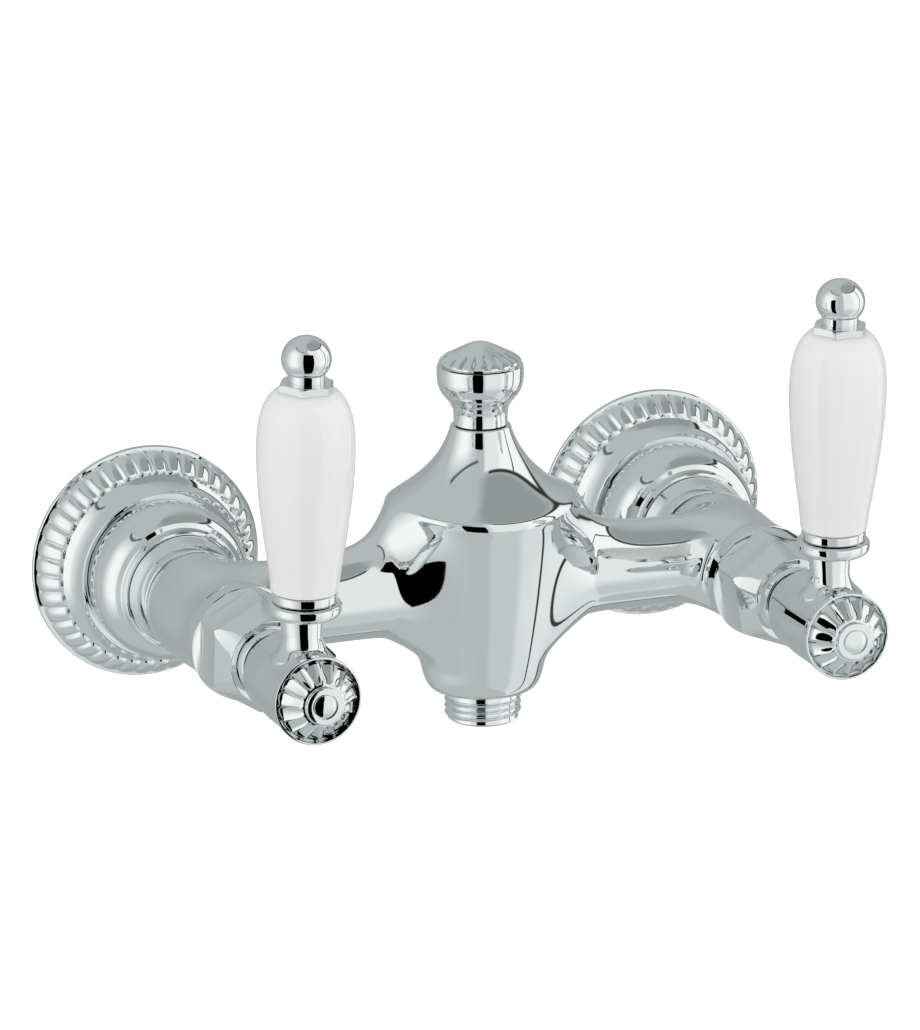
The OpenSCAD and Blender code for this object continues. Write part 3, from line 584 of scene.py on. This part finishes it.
def barrel_cage():
    """Cage of the right barrel, about Y, with the open mouth where the arm comes in."""
    first, radius = BARREL_ROWS[0]
    bpy.ops.object.select_all(action="DESELECT")
    bpy.ops.mesh.primitive_circle_add(
        vertices=BARREL_POINTS, radius=0.5 * radius * MM, fill_type="TRIFAN",
        location=(0, 0, 0))
    cage = bpy.context.object
    edit(cage)
    # The points of the circle are turned to their angles while it lies flat
    ring = sorted((co for co in picked(cage) if co.length > 1),
                  key=lambda co: -math.atan2(co.y, co.x))
    targets = [math.radians(180 - barrel_angle(k)) for k in range(BARREL_POINTS)]
    targets.sort(key=lambda a: -math.atan2(math.sin(a), math.cos(a)))
    for place, angle in zip(ring, targets):
        pick(cage, near(place, 0.05))
        r = radius * BARREL_SHARE
        shift(Vector((r * math.cos(angle), r * math.sin(angle), 0)) - place)
    leave()
    settle(cage, (0, 0, 0), (90, 0, 0))
    edit(cage)
    bpy.ops.mesh.select_all(action="SELECT")
    shift((INLET_X, -COLUMN_Y - first, 0))
    pick(cage, lambda co: math.hypot(co.x - INLET_X, co.z) > 1)
    for (u0, r0), (u1, r1) in zip(BARREL_ROWS, BARREL_ROWS[1:]):
        bpy.ops.mesh.extrude_region_move(
            TRANSFORM_OT_translate={"value": (0, (u0 - u1) * MM, 0)})
        grow((r1 / r0, 1, r1 / r0), (INLET_X, 0, 0))
    bpy.ops.mesh.extrude_region_move()
    bpy.ops.mesh.merge(type="CENTER")
    open_up(cage, in_mouth)
    leave()
    return cage


# Height of the arm's top and bottom, and its half width, along the arm from the column's axis
TOP_LINE = rounded([
    (0, 25.8), (27.9, 25.8, 2.0), (30.6, 19.4, 9), (39, 15.2, 20), (50.6, 14.8), (75, 14.8)])
LOW_LINE = rounded([
    (0, -23.5), (17.5, -23.5), (19.3, -14.2, 8), (28.9, -9, 16), (61, -9, 11), (66, -12),
    (75, -12)])
SIDE_LINE = rounded([
    (0, 16), (15.9, 16), (23.9, 12, 12), (59, 12, 8), (61.5, 15), (75, 15)])
# Distances from the column's axis at which the arm has a ring
STATIONS = (27.8, 29.7, 32.5, 37.0, 43.5, 51.5, 57.5)


def arm_ring(x):
    """Control points of the arm's section at x, from the top round by the wall."""
    up = height_on(TOP_LINE, x) - ARM_Z
    down = ARM_Z - height_on(LOW_LINE, x)
    half = height_on(SIDE_LINE, x)
    out = []
    for k in range(RING_POINTS):
        angle = math.radians(90 - RING_TURN * k)
        rise = up if math.sin(angle) > 0 else down
        out.append(Vector((x, half * math.cos(angle) * RING_SHARE,
                           ARM_Z + rise * math.sin(angle) * RING_SHARE)))
    return out


def mouth_ring():
    """The barrel's points round its open mouth, in the order of the arm's rings."""
    # Each is given by its angle, of MOUTH_ANGLES, and by its row, of MOUTH_ROWS
    steps = [(0, 2), (0, 1), (0, 0), (1, 0), (2, 0), (3, 0), (4, 0), (4, 1), (4, 2), (4, 3),
             (4, 4), (3, 4), (2, 4), (1, 4), (0, 4), (0, 3)]
    out = []
    for k, row in steps:
        depth, radius = MOUTH_ROWS[row]
        angle = math.radians(MOUTH_ANGLES[k])
        out.append(Vector((INLET_X - radius * BARREL_SHARE * math.cos(angle),
                           -COLUMN_Y - depth, radius * BARREL_SHARE * math.sin(angle))))
    return out


def round_arm(co):
    """Angle of a point round the arm, from the top, turning by the wall."""
    middle_z = ARM_Z + 1.5
    return (math.pi / 2 - math.atan2(co.z - middle_z, co.y)) % (2 * math.pi)


def pick_end(cage):
    """Picks the open edges at the arm's end, and leaves out those in the mirror's plane."""
    mesh = bmesh.from_edit_mesh(cage.data)
    for edge in mesh.edges:
        edge.select_set(False)
    for vert in mesh.verts:
        vert.select_set(False)
    for edge in mesh.edges:
        mid = (edge.verts[0].co + edge.verts[1].co) / 2 / MM
        if edge.is_boundary and mid.x > 0.5:
            edge.select_set(True)
    bmesh.update_edit_mesh(cage.data)


def mixer_body_form():
    """Column, arms and barrels as one casting, from a cage that is mirrored and smoothed."""
    cage = column_cage()
    for targets in [arm_ring(x) for x in STATIONS] + [mouth_ring()]:
        pick_end(cage)
        bpy.ops.mesh.extrude_region_move()
        ring = sorted(picked(cage), key=lambda co: (round_arm(co) + 0.1) % (2 * math.pi))
        for place, target in zip(ring, targets):
            pick(cage, near(place, 0.005))
            # Of the two vertices there, the new one has the boundary edges
            mesh = bmesh.from_edit_mesh(cage.data)
            for vert in mesh.verts:
                if vert.select and not vert.is_boundary:
                    vert.select_set(False)
            bmesh.update_edit_mesh(cage.data)
            shift(target - place)
    leave()
    body = join("mixer_body_form", cage, barrel_cage())
    edit(body)
    bpy.ops.mesh.select_all(action="SELECT")
    bpy.ops.mesh.remove_doubles(threshold=0.05 * MM)
    bpy.ops.mesh.normals_make_consistent(inside=False)
    leave()
    apply(body, "MIRROR", use_clip=True, merge_threshold=0.02 * MM)
    apply(body, "SUBSURF", levels=3, render_levels=3)
    only(body)
    bpy.ops.object.shade_smooth()
    return on_column(body)


def outlet_form():
    """Threaded nipple: a turned core with a helical ridge wound on it."""
    sizes = bpy.context.scene.mixer_sizes
    pitch = sizes.thread_pitch / MM
    core = turned("shower_outlet_form", rounded([
        (7.0, -35.8), (9.0, -35.8), (9.7, -35.2), (9.7, -29.4), (10.2, -29.0), (10.2, -27.6),
        (10.2, -24), (7.0, -24), (7.0, -35.8)]))
    ridge = draw("outlet_ridge", [(9.5, 0), (9.75, 0.1), (10.42, 0.62), (10.48, 0.78),
                                  (10.42, 0.94), (9.75, 1.46), (9.5, 1.56), (9.5, 0)])
    close_up()
    leave()
    turns = 3
    apply(ridge, "SCREW", screw_offset=pitch * MM, iterations=turns, steps=64, render_steps=64,
          use_merge_vertices=True, merge_threshold=0.005 * MM)
    edit(ridge)
    bpy.ops.mesh.select_all(action="SELECT")
    bpy.ops.mesh.fill_holes(sides=0)
    close_up()
    leave()
    settle(ridge, (0, 0, -35.5))
    polish(ridge, 40)
    return on_column(join("shower_outlet_form", core, ridge))


def finial_form():
    """Turned ball and neck that screw into the bell."""
    side = flowing([
        (7.35, 47.7), (7.35, 50.2), (7.6, 51.9), (8.7, 54), (10.6, 56.4), (11.6, 59),
        (11.8, 61.5), (11.75, 63.4)], 5)
    path = [(0, 47.7), (7.1, 47.7)] + side + [
        (11.55, 63.95), (11.0, 64.1), (10.7, 64.35), (0, 64.35)]
    return on_column(turned("top_finial_form", path, 80))


def raised_wedge(name, path, band, count, columns, relief, normal):
    """A turned piece with count equal lobes. The vertices of the path's rows in band are
    moved along the normal, given as its parts out and up, by relief(across, along), in one
    wedge that is then copied round. across runs from -1 to 1 and along from 0 to 1."""
    obj = draw(name, path)
    share = 360 / count
    spin(share, columns)
    bpy.ops.mesh.select_all(action="SELECT")
    bpy.ops.mesh.remove_doubles(threshold=0.002 * MM)
    for row in range(band[0], band[1] + 1):
        radius, height = path[row]
        along = (row - band[0]) / (band[1] - band[0])
        for column in range(columns + 1):
            across = 2 * column / columns - 1
            amount = relief(across, along)
            if abs(amount) < 1e-4:
                continue
            turn = -math.radians(share * column / columns)
            place = (radius * math.cos(turn), radius * math.sin(turn), height)
            pick(obj, near(place, 0.01))
            shift((amount * normal[0] * math.cos(turn), amount * normal[0] * math.sin(turn),
                   amount * normal[1]))
    spin(share * (count - 1), count - 1, copies=True)
    close_up()
    leave()
    return polish(obj, 38)


def lobe(across, along, blunt):
    """Height of a long rounded lobe whose far end, from blunt on, is round."""
    past = max(0, (along - blunt) / (1 - blunt))
    return math.sqrt(max(0, 1 - across * across - past * past))


def finial_cap_form():
    """Domed cap with flutes that fade towards its crown and scallop its edge."""
    sizes = bpy.context.scene.mixer_sizes
    depth = sizes.flute_relief / MM
    dome = flowing([(11.2, 64.95), (10.8, 65.55), (9.9, 66.2), (8.6, 66.85), (6.9, 67.75),
                    (5.2, 68.65), (3.2, 69.6), (1.5, 70.15), (0, 70.3)], 4)
    # A fine groove parts the cap from the finial, and the flutes end short of the crown
    path = [(0, 64.4), (10.5, 64.4), (10.5, 64.9)] + dome
    first = 3
    last = first + 19

    def groove(across, along):
        return -depth * math.sin(math.pi * min(1, along * 1.1)) * abs(across) ** 4

    return on_column(raised_wedge(
        "finial_cap_form", path, (first, last), sizes.flutes, 8, groove, (0.55, 0.83)))


def rosette_form(name):
    """Wall rosette with a ribbed band, a cavetto, a raised ring and a dome."""
    sizes = bpy.context.scene.mixer_sizes
    height = sizes.rib_relief / MM
    # The band's ground under the ribs, from the lip to the inner ends of the ribs
    ground = flowing([(31.2, 1.7), (30.8, 3.2), (29.9, 4.9), (28.7, 6.5), (27.4, 7.8),
                      (26.5, 8.6)], 3)
    cavetto = flowing([(26.2, 8.9), (25.1, 10.3), (24.2, 12.2), (23.6, 14.1), (23.35, 15.6)], 3)
    dome = flowing([(22.0, 16.4), (22.0, 20.5), (21.7, 24), (20.9, 26.8), (19.6, 28.9),
                    (18.5, 30)], 4)
    outer = [(32.7, 0), (32.7, 1.0), (32.5, 1.25), (31.6, 1.35)] + ground + cavetto + [
        (23.1, 16.0), (22.75, 16.0), (22.6, 15.2), (22.1, 15.2)] + dome + [
        (17.4, 30.3), (16.9, 30.9), (16.8, 32.7), (16.4, 33.0), (15.95, 32.8), (15.95, 29.6)]
    inner = [(20.0, 26.4), (20.4, 16.0), (22.2, 14.0), (24.4, 7.6), (25.0, 1.4), (31.2, 0),
             (32.7, 0)]
    first = 4
    last = first + len(ground) - 1

    def rib(across, along):
        return height * lobe(across, along, 0.8)

    return raised_wedge(name, outer + inner, (first, last), sizes.ribs, 8, rib, (0.72, 0.69))


def union_nut_form(name):
    """Round union nut with a cove towards its narrow front end."""
    return turned(name, rounded([
        (8.7, 24), (15.8, 24), (15.8, 33, 0.6), (14.1, 36.6, 5), (14.0, 41.3, 0.5), (8.7, 41.3),
        (8.7, 24)]))


def bonnet_form(name):
    """Hexagonal valve bonnet: turned outside with six flats that run out in curves."""
    obj = turned(name, rounded([
        (0, 79.2), (15.0, 79.2), (15.0, 80.2), (15.1, 80.3), (15.1, 83.4), (15.8, 85),
        (15.8, 96.2), (13.9, 99.3), (11.6, 104, 0.4), (9.8, 104.05), (9.8, 105, 0.2),
        (9.35, 106.3, 0.2), (9.1, 106.5), (0, 106.5)]), 144, 18)
    flat = 13.7
    tool = hexagon(flat, 14, 0)
    edit(tool)
    bpy.ops.mesh.select_all(action="SELECT")
    shift((0, 0, 93))
    # From the flats the tool opens towards the ring, and closes along the nose
    pick(tool, lambda co: co.z < 87)
    bpy.ops.mesh.extrude_region_move(TRANSFORM_OT_translate={"value": (0, 0, -3.0 * MM)})
    grow((1.3, 1.3, 1), (0, 0, 83))
    bpy.ops.mesh.extrude_region_move(TRANSFORM_OT_translate={"value": (0, 0, -10 * MM)})
    pick(tool, lambda co: co.z > 99)
    shift((0, 0, -3))
    bpy.ops.mesh.extrude_region_move(TRANSFORM_OT_translate={"value": (0, 0, 7 * MM)})
    grow((11.35 / flat, 11.35 / flat, 1), (0, 0, 104))
    bpy.ops.mesh.extrude_region_move(TRANSFORM_OT_translate={"value": (0, 0, 5 * MM)})
    leave()
    cut(obj, tool, "INTERSECT")
    return polish(obj, 14)


def hub_form(name):
    """Round hub with its bead, its stem and the recess of the front cap."""
    sizes = bpy.context.scene.mixer_sizes
    depth = sizes.lever_depth / MM
    hub = turned(name, rounded([
        (0, 107), (8.9, 107, 0.3), (8.9, 110, 2), (11.1, 111.6, 2.2), (11.6, 123, 30),
        (11.6, 136.8), (12.0, 138.2, 0.8), (12.0, 140, 0.5), (11.45, 140), (11.4, 138.2),
        (11.15, 138), (11.15, 137.4), (0, 137.4)], 6), 96)
    stem = turned("stem", rounded([
        (0, 0), (8.7, 0), (8.7, 9), (5.1, 12.8, 5), (5.9, 21.5), (0, 21.5)], 6), 72)
    # Into the valve's frame, where Z runs out of the wall and Y runs up
    settle(stem, (0, 0, depth), (90 + math.degrees(sizes.lever_tilt), 0, 0))
    settle(stem, (0, 0, 0), (0, 0, 180))
    cut(hub, stem, "UNION")
    return polish(hub, 12)


def front_cap_form(name):
    """Domed cap with scooped flutes that run from its boss down to the hub's rim."""
    sizes = bpy.context.scene.mixer_sizes
    depth = sizes.petal_relief / MM
    slope = flowing([(10.95, 139.7), (9.6, 141.1), (8.2, 142.4), (6.9, 143.4), (5.8, 144.0)], 4)
    path = [(0, 137.6), (11.1, 137.6), (11.1, 138.3)] + slope + rounded([
        (5.3, 144.1), (5.1, 145.25, 0.45), (3.5, 145.25), (3.4, 144.6), (0, 144.6)])
    first = 3
    last = first + len(slope) - 1

    def scoop(across, along):
        return -depth * (1 - 0.4 * along) * lobe(across, along, 0.62)

    return raised_wedge(name, path, (first, last), sizes.petals, 10, scoop, (0.64, 0.77))


def cap_button_form(name):
    """Small domed button in the boss."""
    return turned(name, rounded([
        (0, 144.2), (3.15, 144.2), (3.15, 145.15, 0.3), (1.9, 145.4, 3), (0, 145.45)]), 48)


# Heights on the lever's axis at which the grip stands, its nut, and the ball end's neck
GRIP_FOOT, GRIP_TOP, NUT_TOP = 27.7, 82.8, 85


def collar_form(name):
    """Ring collar: a fat torus with the grip's seat ring on it."""
    return turned(name, rounded([
        (0, 21.05), (5.9, 21.05), (9.8, 21.05, 1.85), (9.8, 24.8, 1.85), (7.6, 24.8),
        (7.9, 25.0), (8.6, 25.2, 0.6), (8.6, 27.3, 0.6), (8.2, GRIP_FOOT), (0, GRIP_FOOT)],
        6), 72)


def grip_form(name):
    """Porcelain grip, slim at its foot and full below its flat top."""
    side = flowing([(radius, GRIP_FOOT + height) for radius, height in (
        (8.9, 0.4), (9.5, 5.5), (10.5, 12), (11.6, 20), (12.45, 28), (12.85, 34.5),
        (12.95, 38), (12.85, 42.5), (12.4, 46.5), (11.4, 50.2), (9.9, 53), (8.2, 54.7),
    )] + [(6.6, GRIP_TOP)], 4)
    return turned(name, [(0, GRIP_FOOT), (8.1, GRIP_FOOT)] + side + [(0, GRIP_TOP)], 96, 40)


def grip_nut_form(name):
    """Hexagonal nut on the grip with its corners chamfered."""
    obj = turned(name, [(0, GRIP_TOP), (7.5, GRIP_TOP), (7.5, NUT_TOP - 0.5),
                        (6.3, NUT_TOP), (0, NUT_TOP)], 96)
    cut(obj, hexagon(6.5, 6, 84, 30), "INTERSECT")
    return polish(obj, 20)


def ball_form(name):
    """Ball end, a little flattened, on its short round neck."""
    centre, radius, half_height = 91.2, 6.6, 6.2
    # From where the ball meets the neck up to its pole
    lowest, steps = -36, 24
    ball = []
    for k in range(steps + 1):
        angle = math.radians(lowest + (90 - lowest) * k / steps)
        ball.append((max(0.0, radius * math.cos(angle)), centre + half_height * math.sin(angle)))
    path = [(0, NUT_TOP), (4.9, NUT_TOP), (4.95, 87.3), (4.85, 87.5)] + ball
    return turned(name, path, 64, 40)


# Operators


class MIXER_OT_body(bpy.types.Operator):
    """Casting of column, arms and barrels"""
    bl_idname = "mixer.body"
    bl_label = "Mixer Body"

    def execute(self, context):
        dress(mixer_body_form(), "chrome", "mixer", "mixer_body")
        return {"FINISHED"}


class MIXER_OT_outlet(bpy.types.Operator):
    """Threaded nipple for the shower hose"""
    bl_idname = "mixer.outlet"
    bl_label = "Shower Outlet"

    def execute(self, context):
        dress(outlet_form(), "chrome", "mixer", "shower_outlet")
        return {"FINISHED"}


class MIXER_OT_finial(bpy.types.Operator):
    """Turned finial on the bell and its fluted cap"""
    bl_idname = "mixer.finial"
    bl_label = "Finial"

    def execute(self, context):
        dress(finial_form(), "chrome", "mixer", "top_finial")
        dress(finial_cap_form(), "chrome", "mixer", "finial_cap")
        return {"FINISHED"}


class MIXER_OT_rosettes(bpy.types.Operator):
    """Wall rosettes with their ribbed bands, and the union nuts in them"""
    bl_idname = "mixer.rosettes"
    bl_label = "Rosettes and Union Nuts"

    def execute(self, context):
        pair(rosette_form, "rosette", on_valve, "chrome", "mixer")
        pair(union_nut_form, "union_nut", on_valve, "chrome", "mixer")
        return {"FINISHED"}


class MIXER_OT_bonnets(bpy.types.Operator):
    """Hexagonal valve bonnets"""
    bl_idname = "mixer.bonnets"
    bl_label = "Bonnets"

    def execute(self, context):
        sizes = context.scene.mixer_sizes
        left = bonnet_form("left_bonnet_form")
        right = twin(left, "right_bonnet_form")
        turns = (sizes.left_bonnet_turn, sizes.right_bonnet_turn)
        for obj, (name, side), turn in zip((left, right), SIDES, turns):
            settle(obj, (0, 0, 0), (0, 0, 30 - math.degrees(turn)))
            on_valve(obj, side)
            dress(obj, "chrome", "mixer", name + "_bonnet")
        return {"FINISHED"}


class MIXER_OT_hubs(bpy.types.Operator):
    """Lever hubs, their front caps and buttons"""
    bl_idname = "mixer.hubs"
    bl_label = "Hubs and Caps"

    def execute(self, context):
        pair(hub_form, "lever_hub", on_valve, "chrome", "{}_lever")
        pair(front_cap_form, "front_cap", on_valve, "chrome", "{}_lever")
        pair(cap_button_form, "cap_button", on_valve, "chrome", "{}_lever")
        return {"FINISHED"}


class MIXER_OT_levers(bpy.types.Operator):
    """Collars, porcelain grips, nuts and ball ends of the levers"""
    bl_idname = "mixer.levers"
    bl_label = "Levers"

    def execute(self, context):
        pair(collar_form, "lever_collar", on_lever, "chrome", "{}_lever")
        pair(grip_form, "lever_grip", on_lever, "porcelain", "{}_lever")
        pair(grip_nut_form, "grip_nut", on_lever, "chrome", "{}_lever")
        pair(ball_form, "lever_ball", on_lever, "chrome", "{}_lever")
        return {"FINISHED"}


class MIXER_OT_inner_parts(bpy.types.Operator):
    """Materials of the working parts inside, which keep the frame's own shapes"""
    bl_idname = "mixer.inner_parts"
    bl_label = "Inner Parts"

    def execute(self, context):
        slots = {part["node"]: part["material_slot"] for part in frame["record"]["subparts"]}
        for name, obj in frame["nodes"].items():
            obj.data.materials.clear()
            obj.data.materials.append(finish(slots[name]))
        return {"FINISHED"}


class MIXER_OT_stage(bpy.types.Operator):
    """Floor, studio light and camera"""
    bl_idname = "mixer.stage"
    bl_label = "Stage"

    def execute(self, context):
        make_floor()
        make_flag()
        make_studio()
        make_camera()
        context.scene.view_settings.view_transform = "Standard"
        return {"FINISHED"}


def make_floor():
    """A pale round floor under the object, seen as the white background with its shadow."""
    studio = bpy.context.scene.mixer_studio
    bpy.ops.object.select_all(action="DESELECT")
    bpy.ops.mesh.primitive_circle_add(
        vertices=64, radius=4.0, fill_type="NGON", location=(0, 0, -studio.floor_drop))
    floor = bpy.context.object
    floor.name = "studio_floor"
    material, tree, shader = principled("pale studio floor")
    shader.inputs["Base Color"].default_value = studio.floor_colour
    shader.inputs["Roughness"].default_value = 0.9
    shader.inputs["Specular IOR Level"].default_value = 0.1
    # Seen directly the floor is the white background, and it keeps the object's shadow
    ray = add(tree, "ShaderNodeLightPath")
    white = add(tree, "ShaderNodeEmission", Color=(1, 1, 1, 1), Strength=0.45)
    both = add(tree, "ShaderNodeAddShader", _0=shader, _1=white)
    mixed = add(tree, "ShaderNodeMixShader", _0=ray.outputs["Is Camera Ray"], _1=shader,
                _2=both)
    tree.links.new(mixed.outputs[0], tree.nodes["Material Output"].inputs["Surface"])
    floor.data.materials.append(material)
    floor.visible_glossy = False


def make_flag():
    """The black flag between the camera and the object, which chrome mirrors as a sharp dark
    band. It is seen in reflections alone."""
    bpy.ops.object.select_all(action="DESELECT")
    bpy.ops.mesh.primitive_plane_add(size=MM, rotation=(math.pi / 2, 0, 0))
    flag = bpy.context.object
    flag.name = "black_flag"
    bpy.ops.object.transform_apply(location=False, rotation=True, scale=True)
    edit(flag)
    bpy.ops.mesh.select_all(action="SELECT")
    grow((94, 1, 263))
    shift((1, -250, 33.5))
    bpy.ops.transform.rotate(value=VIEW_TURN, orient_axis="Z", center_override=(0, 0, 0))
    leave()
    material, _, shader = principled("black flock")
    # Matt black flock, that gives back next to no light
    shader.inputs["Base Color"].default_value = (0, 0, 0, 1)
    shader.inputs["Specular IOR Level"].default_value = 0
    flag.data.materials.append(material)
    flag.visible_camera = False
    flag.visible_diffuse = False
    flag.visible_shadow = False


def make_studio():
    """The world: a grey studio with a sharp white panel on the right and a soft one on the
    left, the dark lines at their edges, and a shade above and behind. Its angles are degrees
    round the object from the camera, towards the camera's right, and degrees up from level."""
    studio = bpy.context.scene.mixer_studio
    world = bpy.data.worlds.new("photo studio")
    bpy.context.scene.world = world
    world.use_nodes = True
    tree = world.node_tree
    tree.nodes.clear()
    sky = add(tree, "ShaderNodeTexCoord")
    turned_sky = add(tree, "ShaderNodeMapping", {"vector_type": "POINT"},
                     Vector=sky.outputs["Generated"], Rotation=(0, 0, math.pi / 2 + VIEW_TURN))
    axes = add(tree, "ShaderNodeSeparateXYZ", Vector=turned_sky)
    bearing = add(tree, "ShaderNodeMath", {"operation": "ARCTAN2"},
                  _0=axes.outputs["Y"], _1=axes.outputs["X"])
    around = add(tree, "ShaderNodeMath", {"operation": "DEGREES"}, _0=bearing)
    rise = add(tree, "ShaderNodeMath", {"operation": "ARCSINE"}, _0=axes.outputs["Z"])
    above = add(tree, "ShaderNodeMath", {"operation": "DEGREES"}, _0=rise)

    def tilted(start, fall):
        """Height above a line that falls from start on, by a share of the way round."""
        past = add(tree, "ShaderNodeMath", {"operation": "SUBTRACT"}, _0=around, _1=start)
        return add(tree, "ShaderNodeMath", {"operation": "MULTIPLY_ADD"}, _0=past, _1=fall,
                   _2=above)

    def area(across, up, height=above):
        """1 in a rectangle and 0 outside it. across and up hold its low edge, its high edge
        and the degrees over which these fade."""
        inside = 1.0
        for value, (low, high, soft) in ((around, across), (height, up)):
            for edge, ends in ((low, (0, 1)), (high, (1, 0))):
                side = add(tree, "ShaderNodeMapRange", Value=value, From_Min=edge - soft / 2,
                           From_Max=edge + soft / 2, To_Min=ends[0], To_Max=ends[1])
                inside = add(tree, "ShaderNodeMath", {"operation": "MULTIPLY"}, _0=inside,
                             _1=side)
        return inside

    # An edge this far out is never reached
    beyond = 400
    right_line = tilted(27, 0.22)
    right_panel = area((12, 132, 9), (-50, 57, 2), right_line)
    left_panel = area((-88, -30, 36), (-32, 44, 26))
    # The right panel has a dark rim, outside its core, and a dark seam
    core = area((-90, 132, 2), (-50, 57, 2), right_line)
    rim = add(tree, "ShaderNodeMath", {"operation": "SUBTRACT", "use_clamp": True},
              _0=area((26, 137, 3), (-50, 61, 1.5), right_line), _1=core)
    seam = area((95.5, 99, 0.8), (-46, 57, 2), right_line)
    # The left panel has a dark top edge, which falls a little towards the camera
    top_edge = area((-94, -9, 4), (45.5, 49, 2), tilted(-9, 0.082))
    shade = area((4, 150, 50), (62, beyond, 8), right_line)
    back = add(tree, "ShaderNodeMath", {"operation": "ADD"},
               _0=area((-beyond, -132, 30), (-80, 24, 24)),
               _1=area((132, beyond, 30), (-80, 24, 24)))

    # The right panel brightens above its lower edge and beyond its middle
    higher = add(tree, "ShaderNodeMapRange", Value=above, From_Min=-34, From_Max=-18,
                 To_Min=0.2, To_Max=0.7)
    further = add(tree, "ShaderNodeMapRange", Value=around, From_Min=54, From_Max=66,
                  To_Min=0, To_Max=0.3)
    share = add(tree, "ShaderNodeMath", {"operation": "ADD"}, _0=higher, _1=further)
    lit = add(tree, "ShaderNodeMath", {"operation": "MULTIPLY_ADD"}, _0=right_panel, _1=share,
              _2=left_panel)
    level = add(tree, "ShaderNodeMath", {"operation": "MULTIPLY_ADD"}, _0=lit,
                _1=studio.panel - studio.surround, _2=studio.surround)
    for dark, depth in (
            (rim, 0.92), (seam, 0.95), (top_edge, 0.8), (shade, 0.36), (back, 0.24)):
        kept = add(tree, "ShaderNodeMath", {"operation": "MULTIPLY_ADD"}, _0=dark, _1=-depth,
                   _2=1.0)
        level = add(tree, "ShaderNodeMath", {"operation": "MULTIPLY"}, _0=level, _1=kept)

    seen = add(tree, "ShaderNodeLightPath")
    # A soft fill that matt surfaces receive and that chrome doesn't mirror
    filled = add(tree, "ShaderNodeMath", {"operation": "MULTIPLY_ADD"},
                 _0=seen.outputs["Is Diffuse Ray"], _1=studio.fill, _2=level)
    strength = add(tree, "ShaderNodeMix", {"data_type": "FLOAT"},
                   _0=seen.outputs["Is Camera Ray"], _2=filled, _3=1.0)
    # The grey is faintly cool, and the panels, the fill and the background are plain white
    bare = add(tree, "ShaderNodeMath", {"operation": "ADD"},
               _0=seen.outputs["Is Camera Ray"], _1=seen.outputs["Is Diffuse Ray"])
    plain = add(tree, "ShaderNodeMath", {"operation": "ADD", "use_clamp": True}, _0=lit,
                _1=bare)
    tone = add(tree, "ShaderNodeMix", {"data_type": "RGBA"},
               _0=plain, _6=linear("#F8FFFF"), _7=(1, 1, 1, 1))
    background = add(tree, "ShaderNodeBackground", Color=tone.outputs[2], Strength=strength)
    add(tree, "ShaderNodeOutputWorld", Surface=background)


def make_camera():
    """Camera at the photograph's viewing angle, with its slight roll."""
    azimuth, elevation, roll = (math.radians(angle) for angle in (20.80, 16.27, -0.48))
    distance = 2.283
    target = Vector((-1.04, -50, 18.06)) * MM
    look = Vector((math.sin(azimuth) * math.cos(elevation),
                   math.cos(azimuth) * math.cos(elevation), -math.sin(elevation)))
    bpy.ops.object.camera_add()
    camera = bpy.context.object
    camera.name = "studio_camera"
    turn = look.to_track_quat("-Z", "Y").to_matrix().to_4x4() @ Matrix.Rotation(roll, 4, "Z")
    camera.matrix_world = Matrix.Translation(target - look * distance) @ turn
    camera.data.sensor_fit = "VERTICAL"
    camera.data.sensor_height = 36
    camera.data.sensor_width = 36
    camera.data.lens = 292.87
    camera.data.clip_start = 0.05
    bpy.context.scene.camera = camera


class MIXER_PT_panel(bpy.types.Panel):
    bl_label = "Shower Mixer"
    bl_space_type = "VIEW_3D"
    bl_region_type = "UI"
    bl_category = "Mixer"

    def draw(self, context):
        for group in (context.scene.mixer_sizes, context.scene.mixer_studio):
            for name in group.__annotations__:
                self.layout.prop(group, name)
        for operator in OPERATORS:
            self.layout.operator(operator.bl_idname)


OPERATORS = (
    MIXER_OT_inner_parts, MIXER_OT_body, MIXER_OT_outlet, MIXER_OT_finial, MIXER_OT_rosettes,
    MIXER_OT_bonnets, MIXER_OT_hubs, MIXER_OT_levers, MIXER_OT_stage,
)
CLASSES = (MixerSizes, MixerStudio, *OPERATORS, MIXER_PT_panel)


def register():
    for cls in CLASSES:
        bpy.utils.register_class(cls)
    bpy.types.Scene.mixer_sizes = bpy.props.PointerProperty(type=MixerSizes)
    bpy.types.Scene.mixer_studio = bpy.props.PointerProperty(type=MixerStudio)


def unregister():
    del bpy.types.Scene.mixer_studio
    del bpy.types.Scene.mixer_sizes
    for cls in reversed(CLASSES):
        bpy.utils.unregister_class(cls)


def main():
    register()
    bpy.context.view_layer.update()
    bpy.ops.mixer.inner_parts()
    bpy.ops.mixer.body()
    bpy.ops.mixer.outlet()
    bpy.ops.mixer.finial()
    bpy.ops.mixer.rosettes()
    bpy.ops.mixer.bonnets()
    bpy.ops.mixer.hubs()
    bpy.ops.mixer.levers()
    bpy.ops.mixer.stage()


if __name__ == "__main__":
    main()
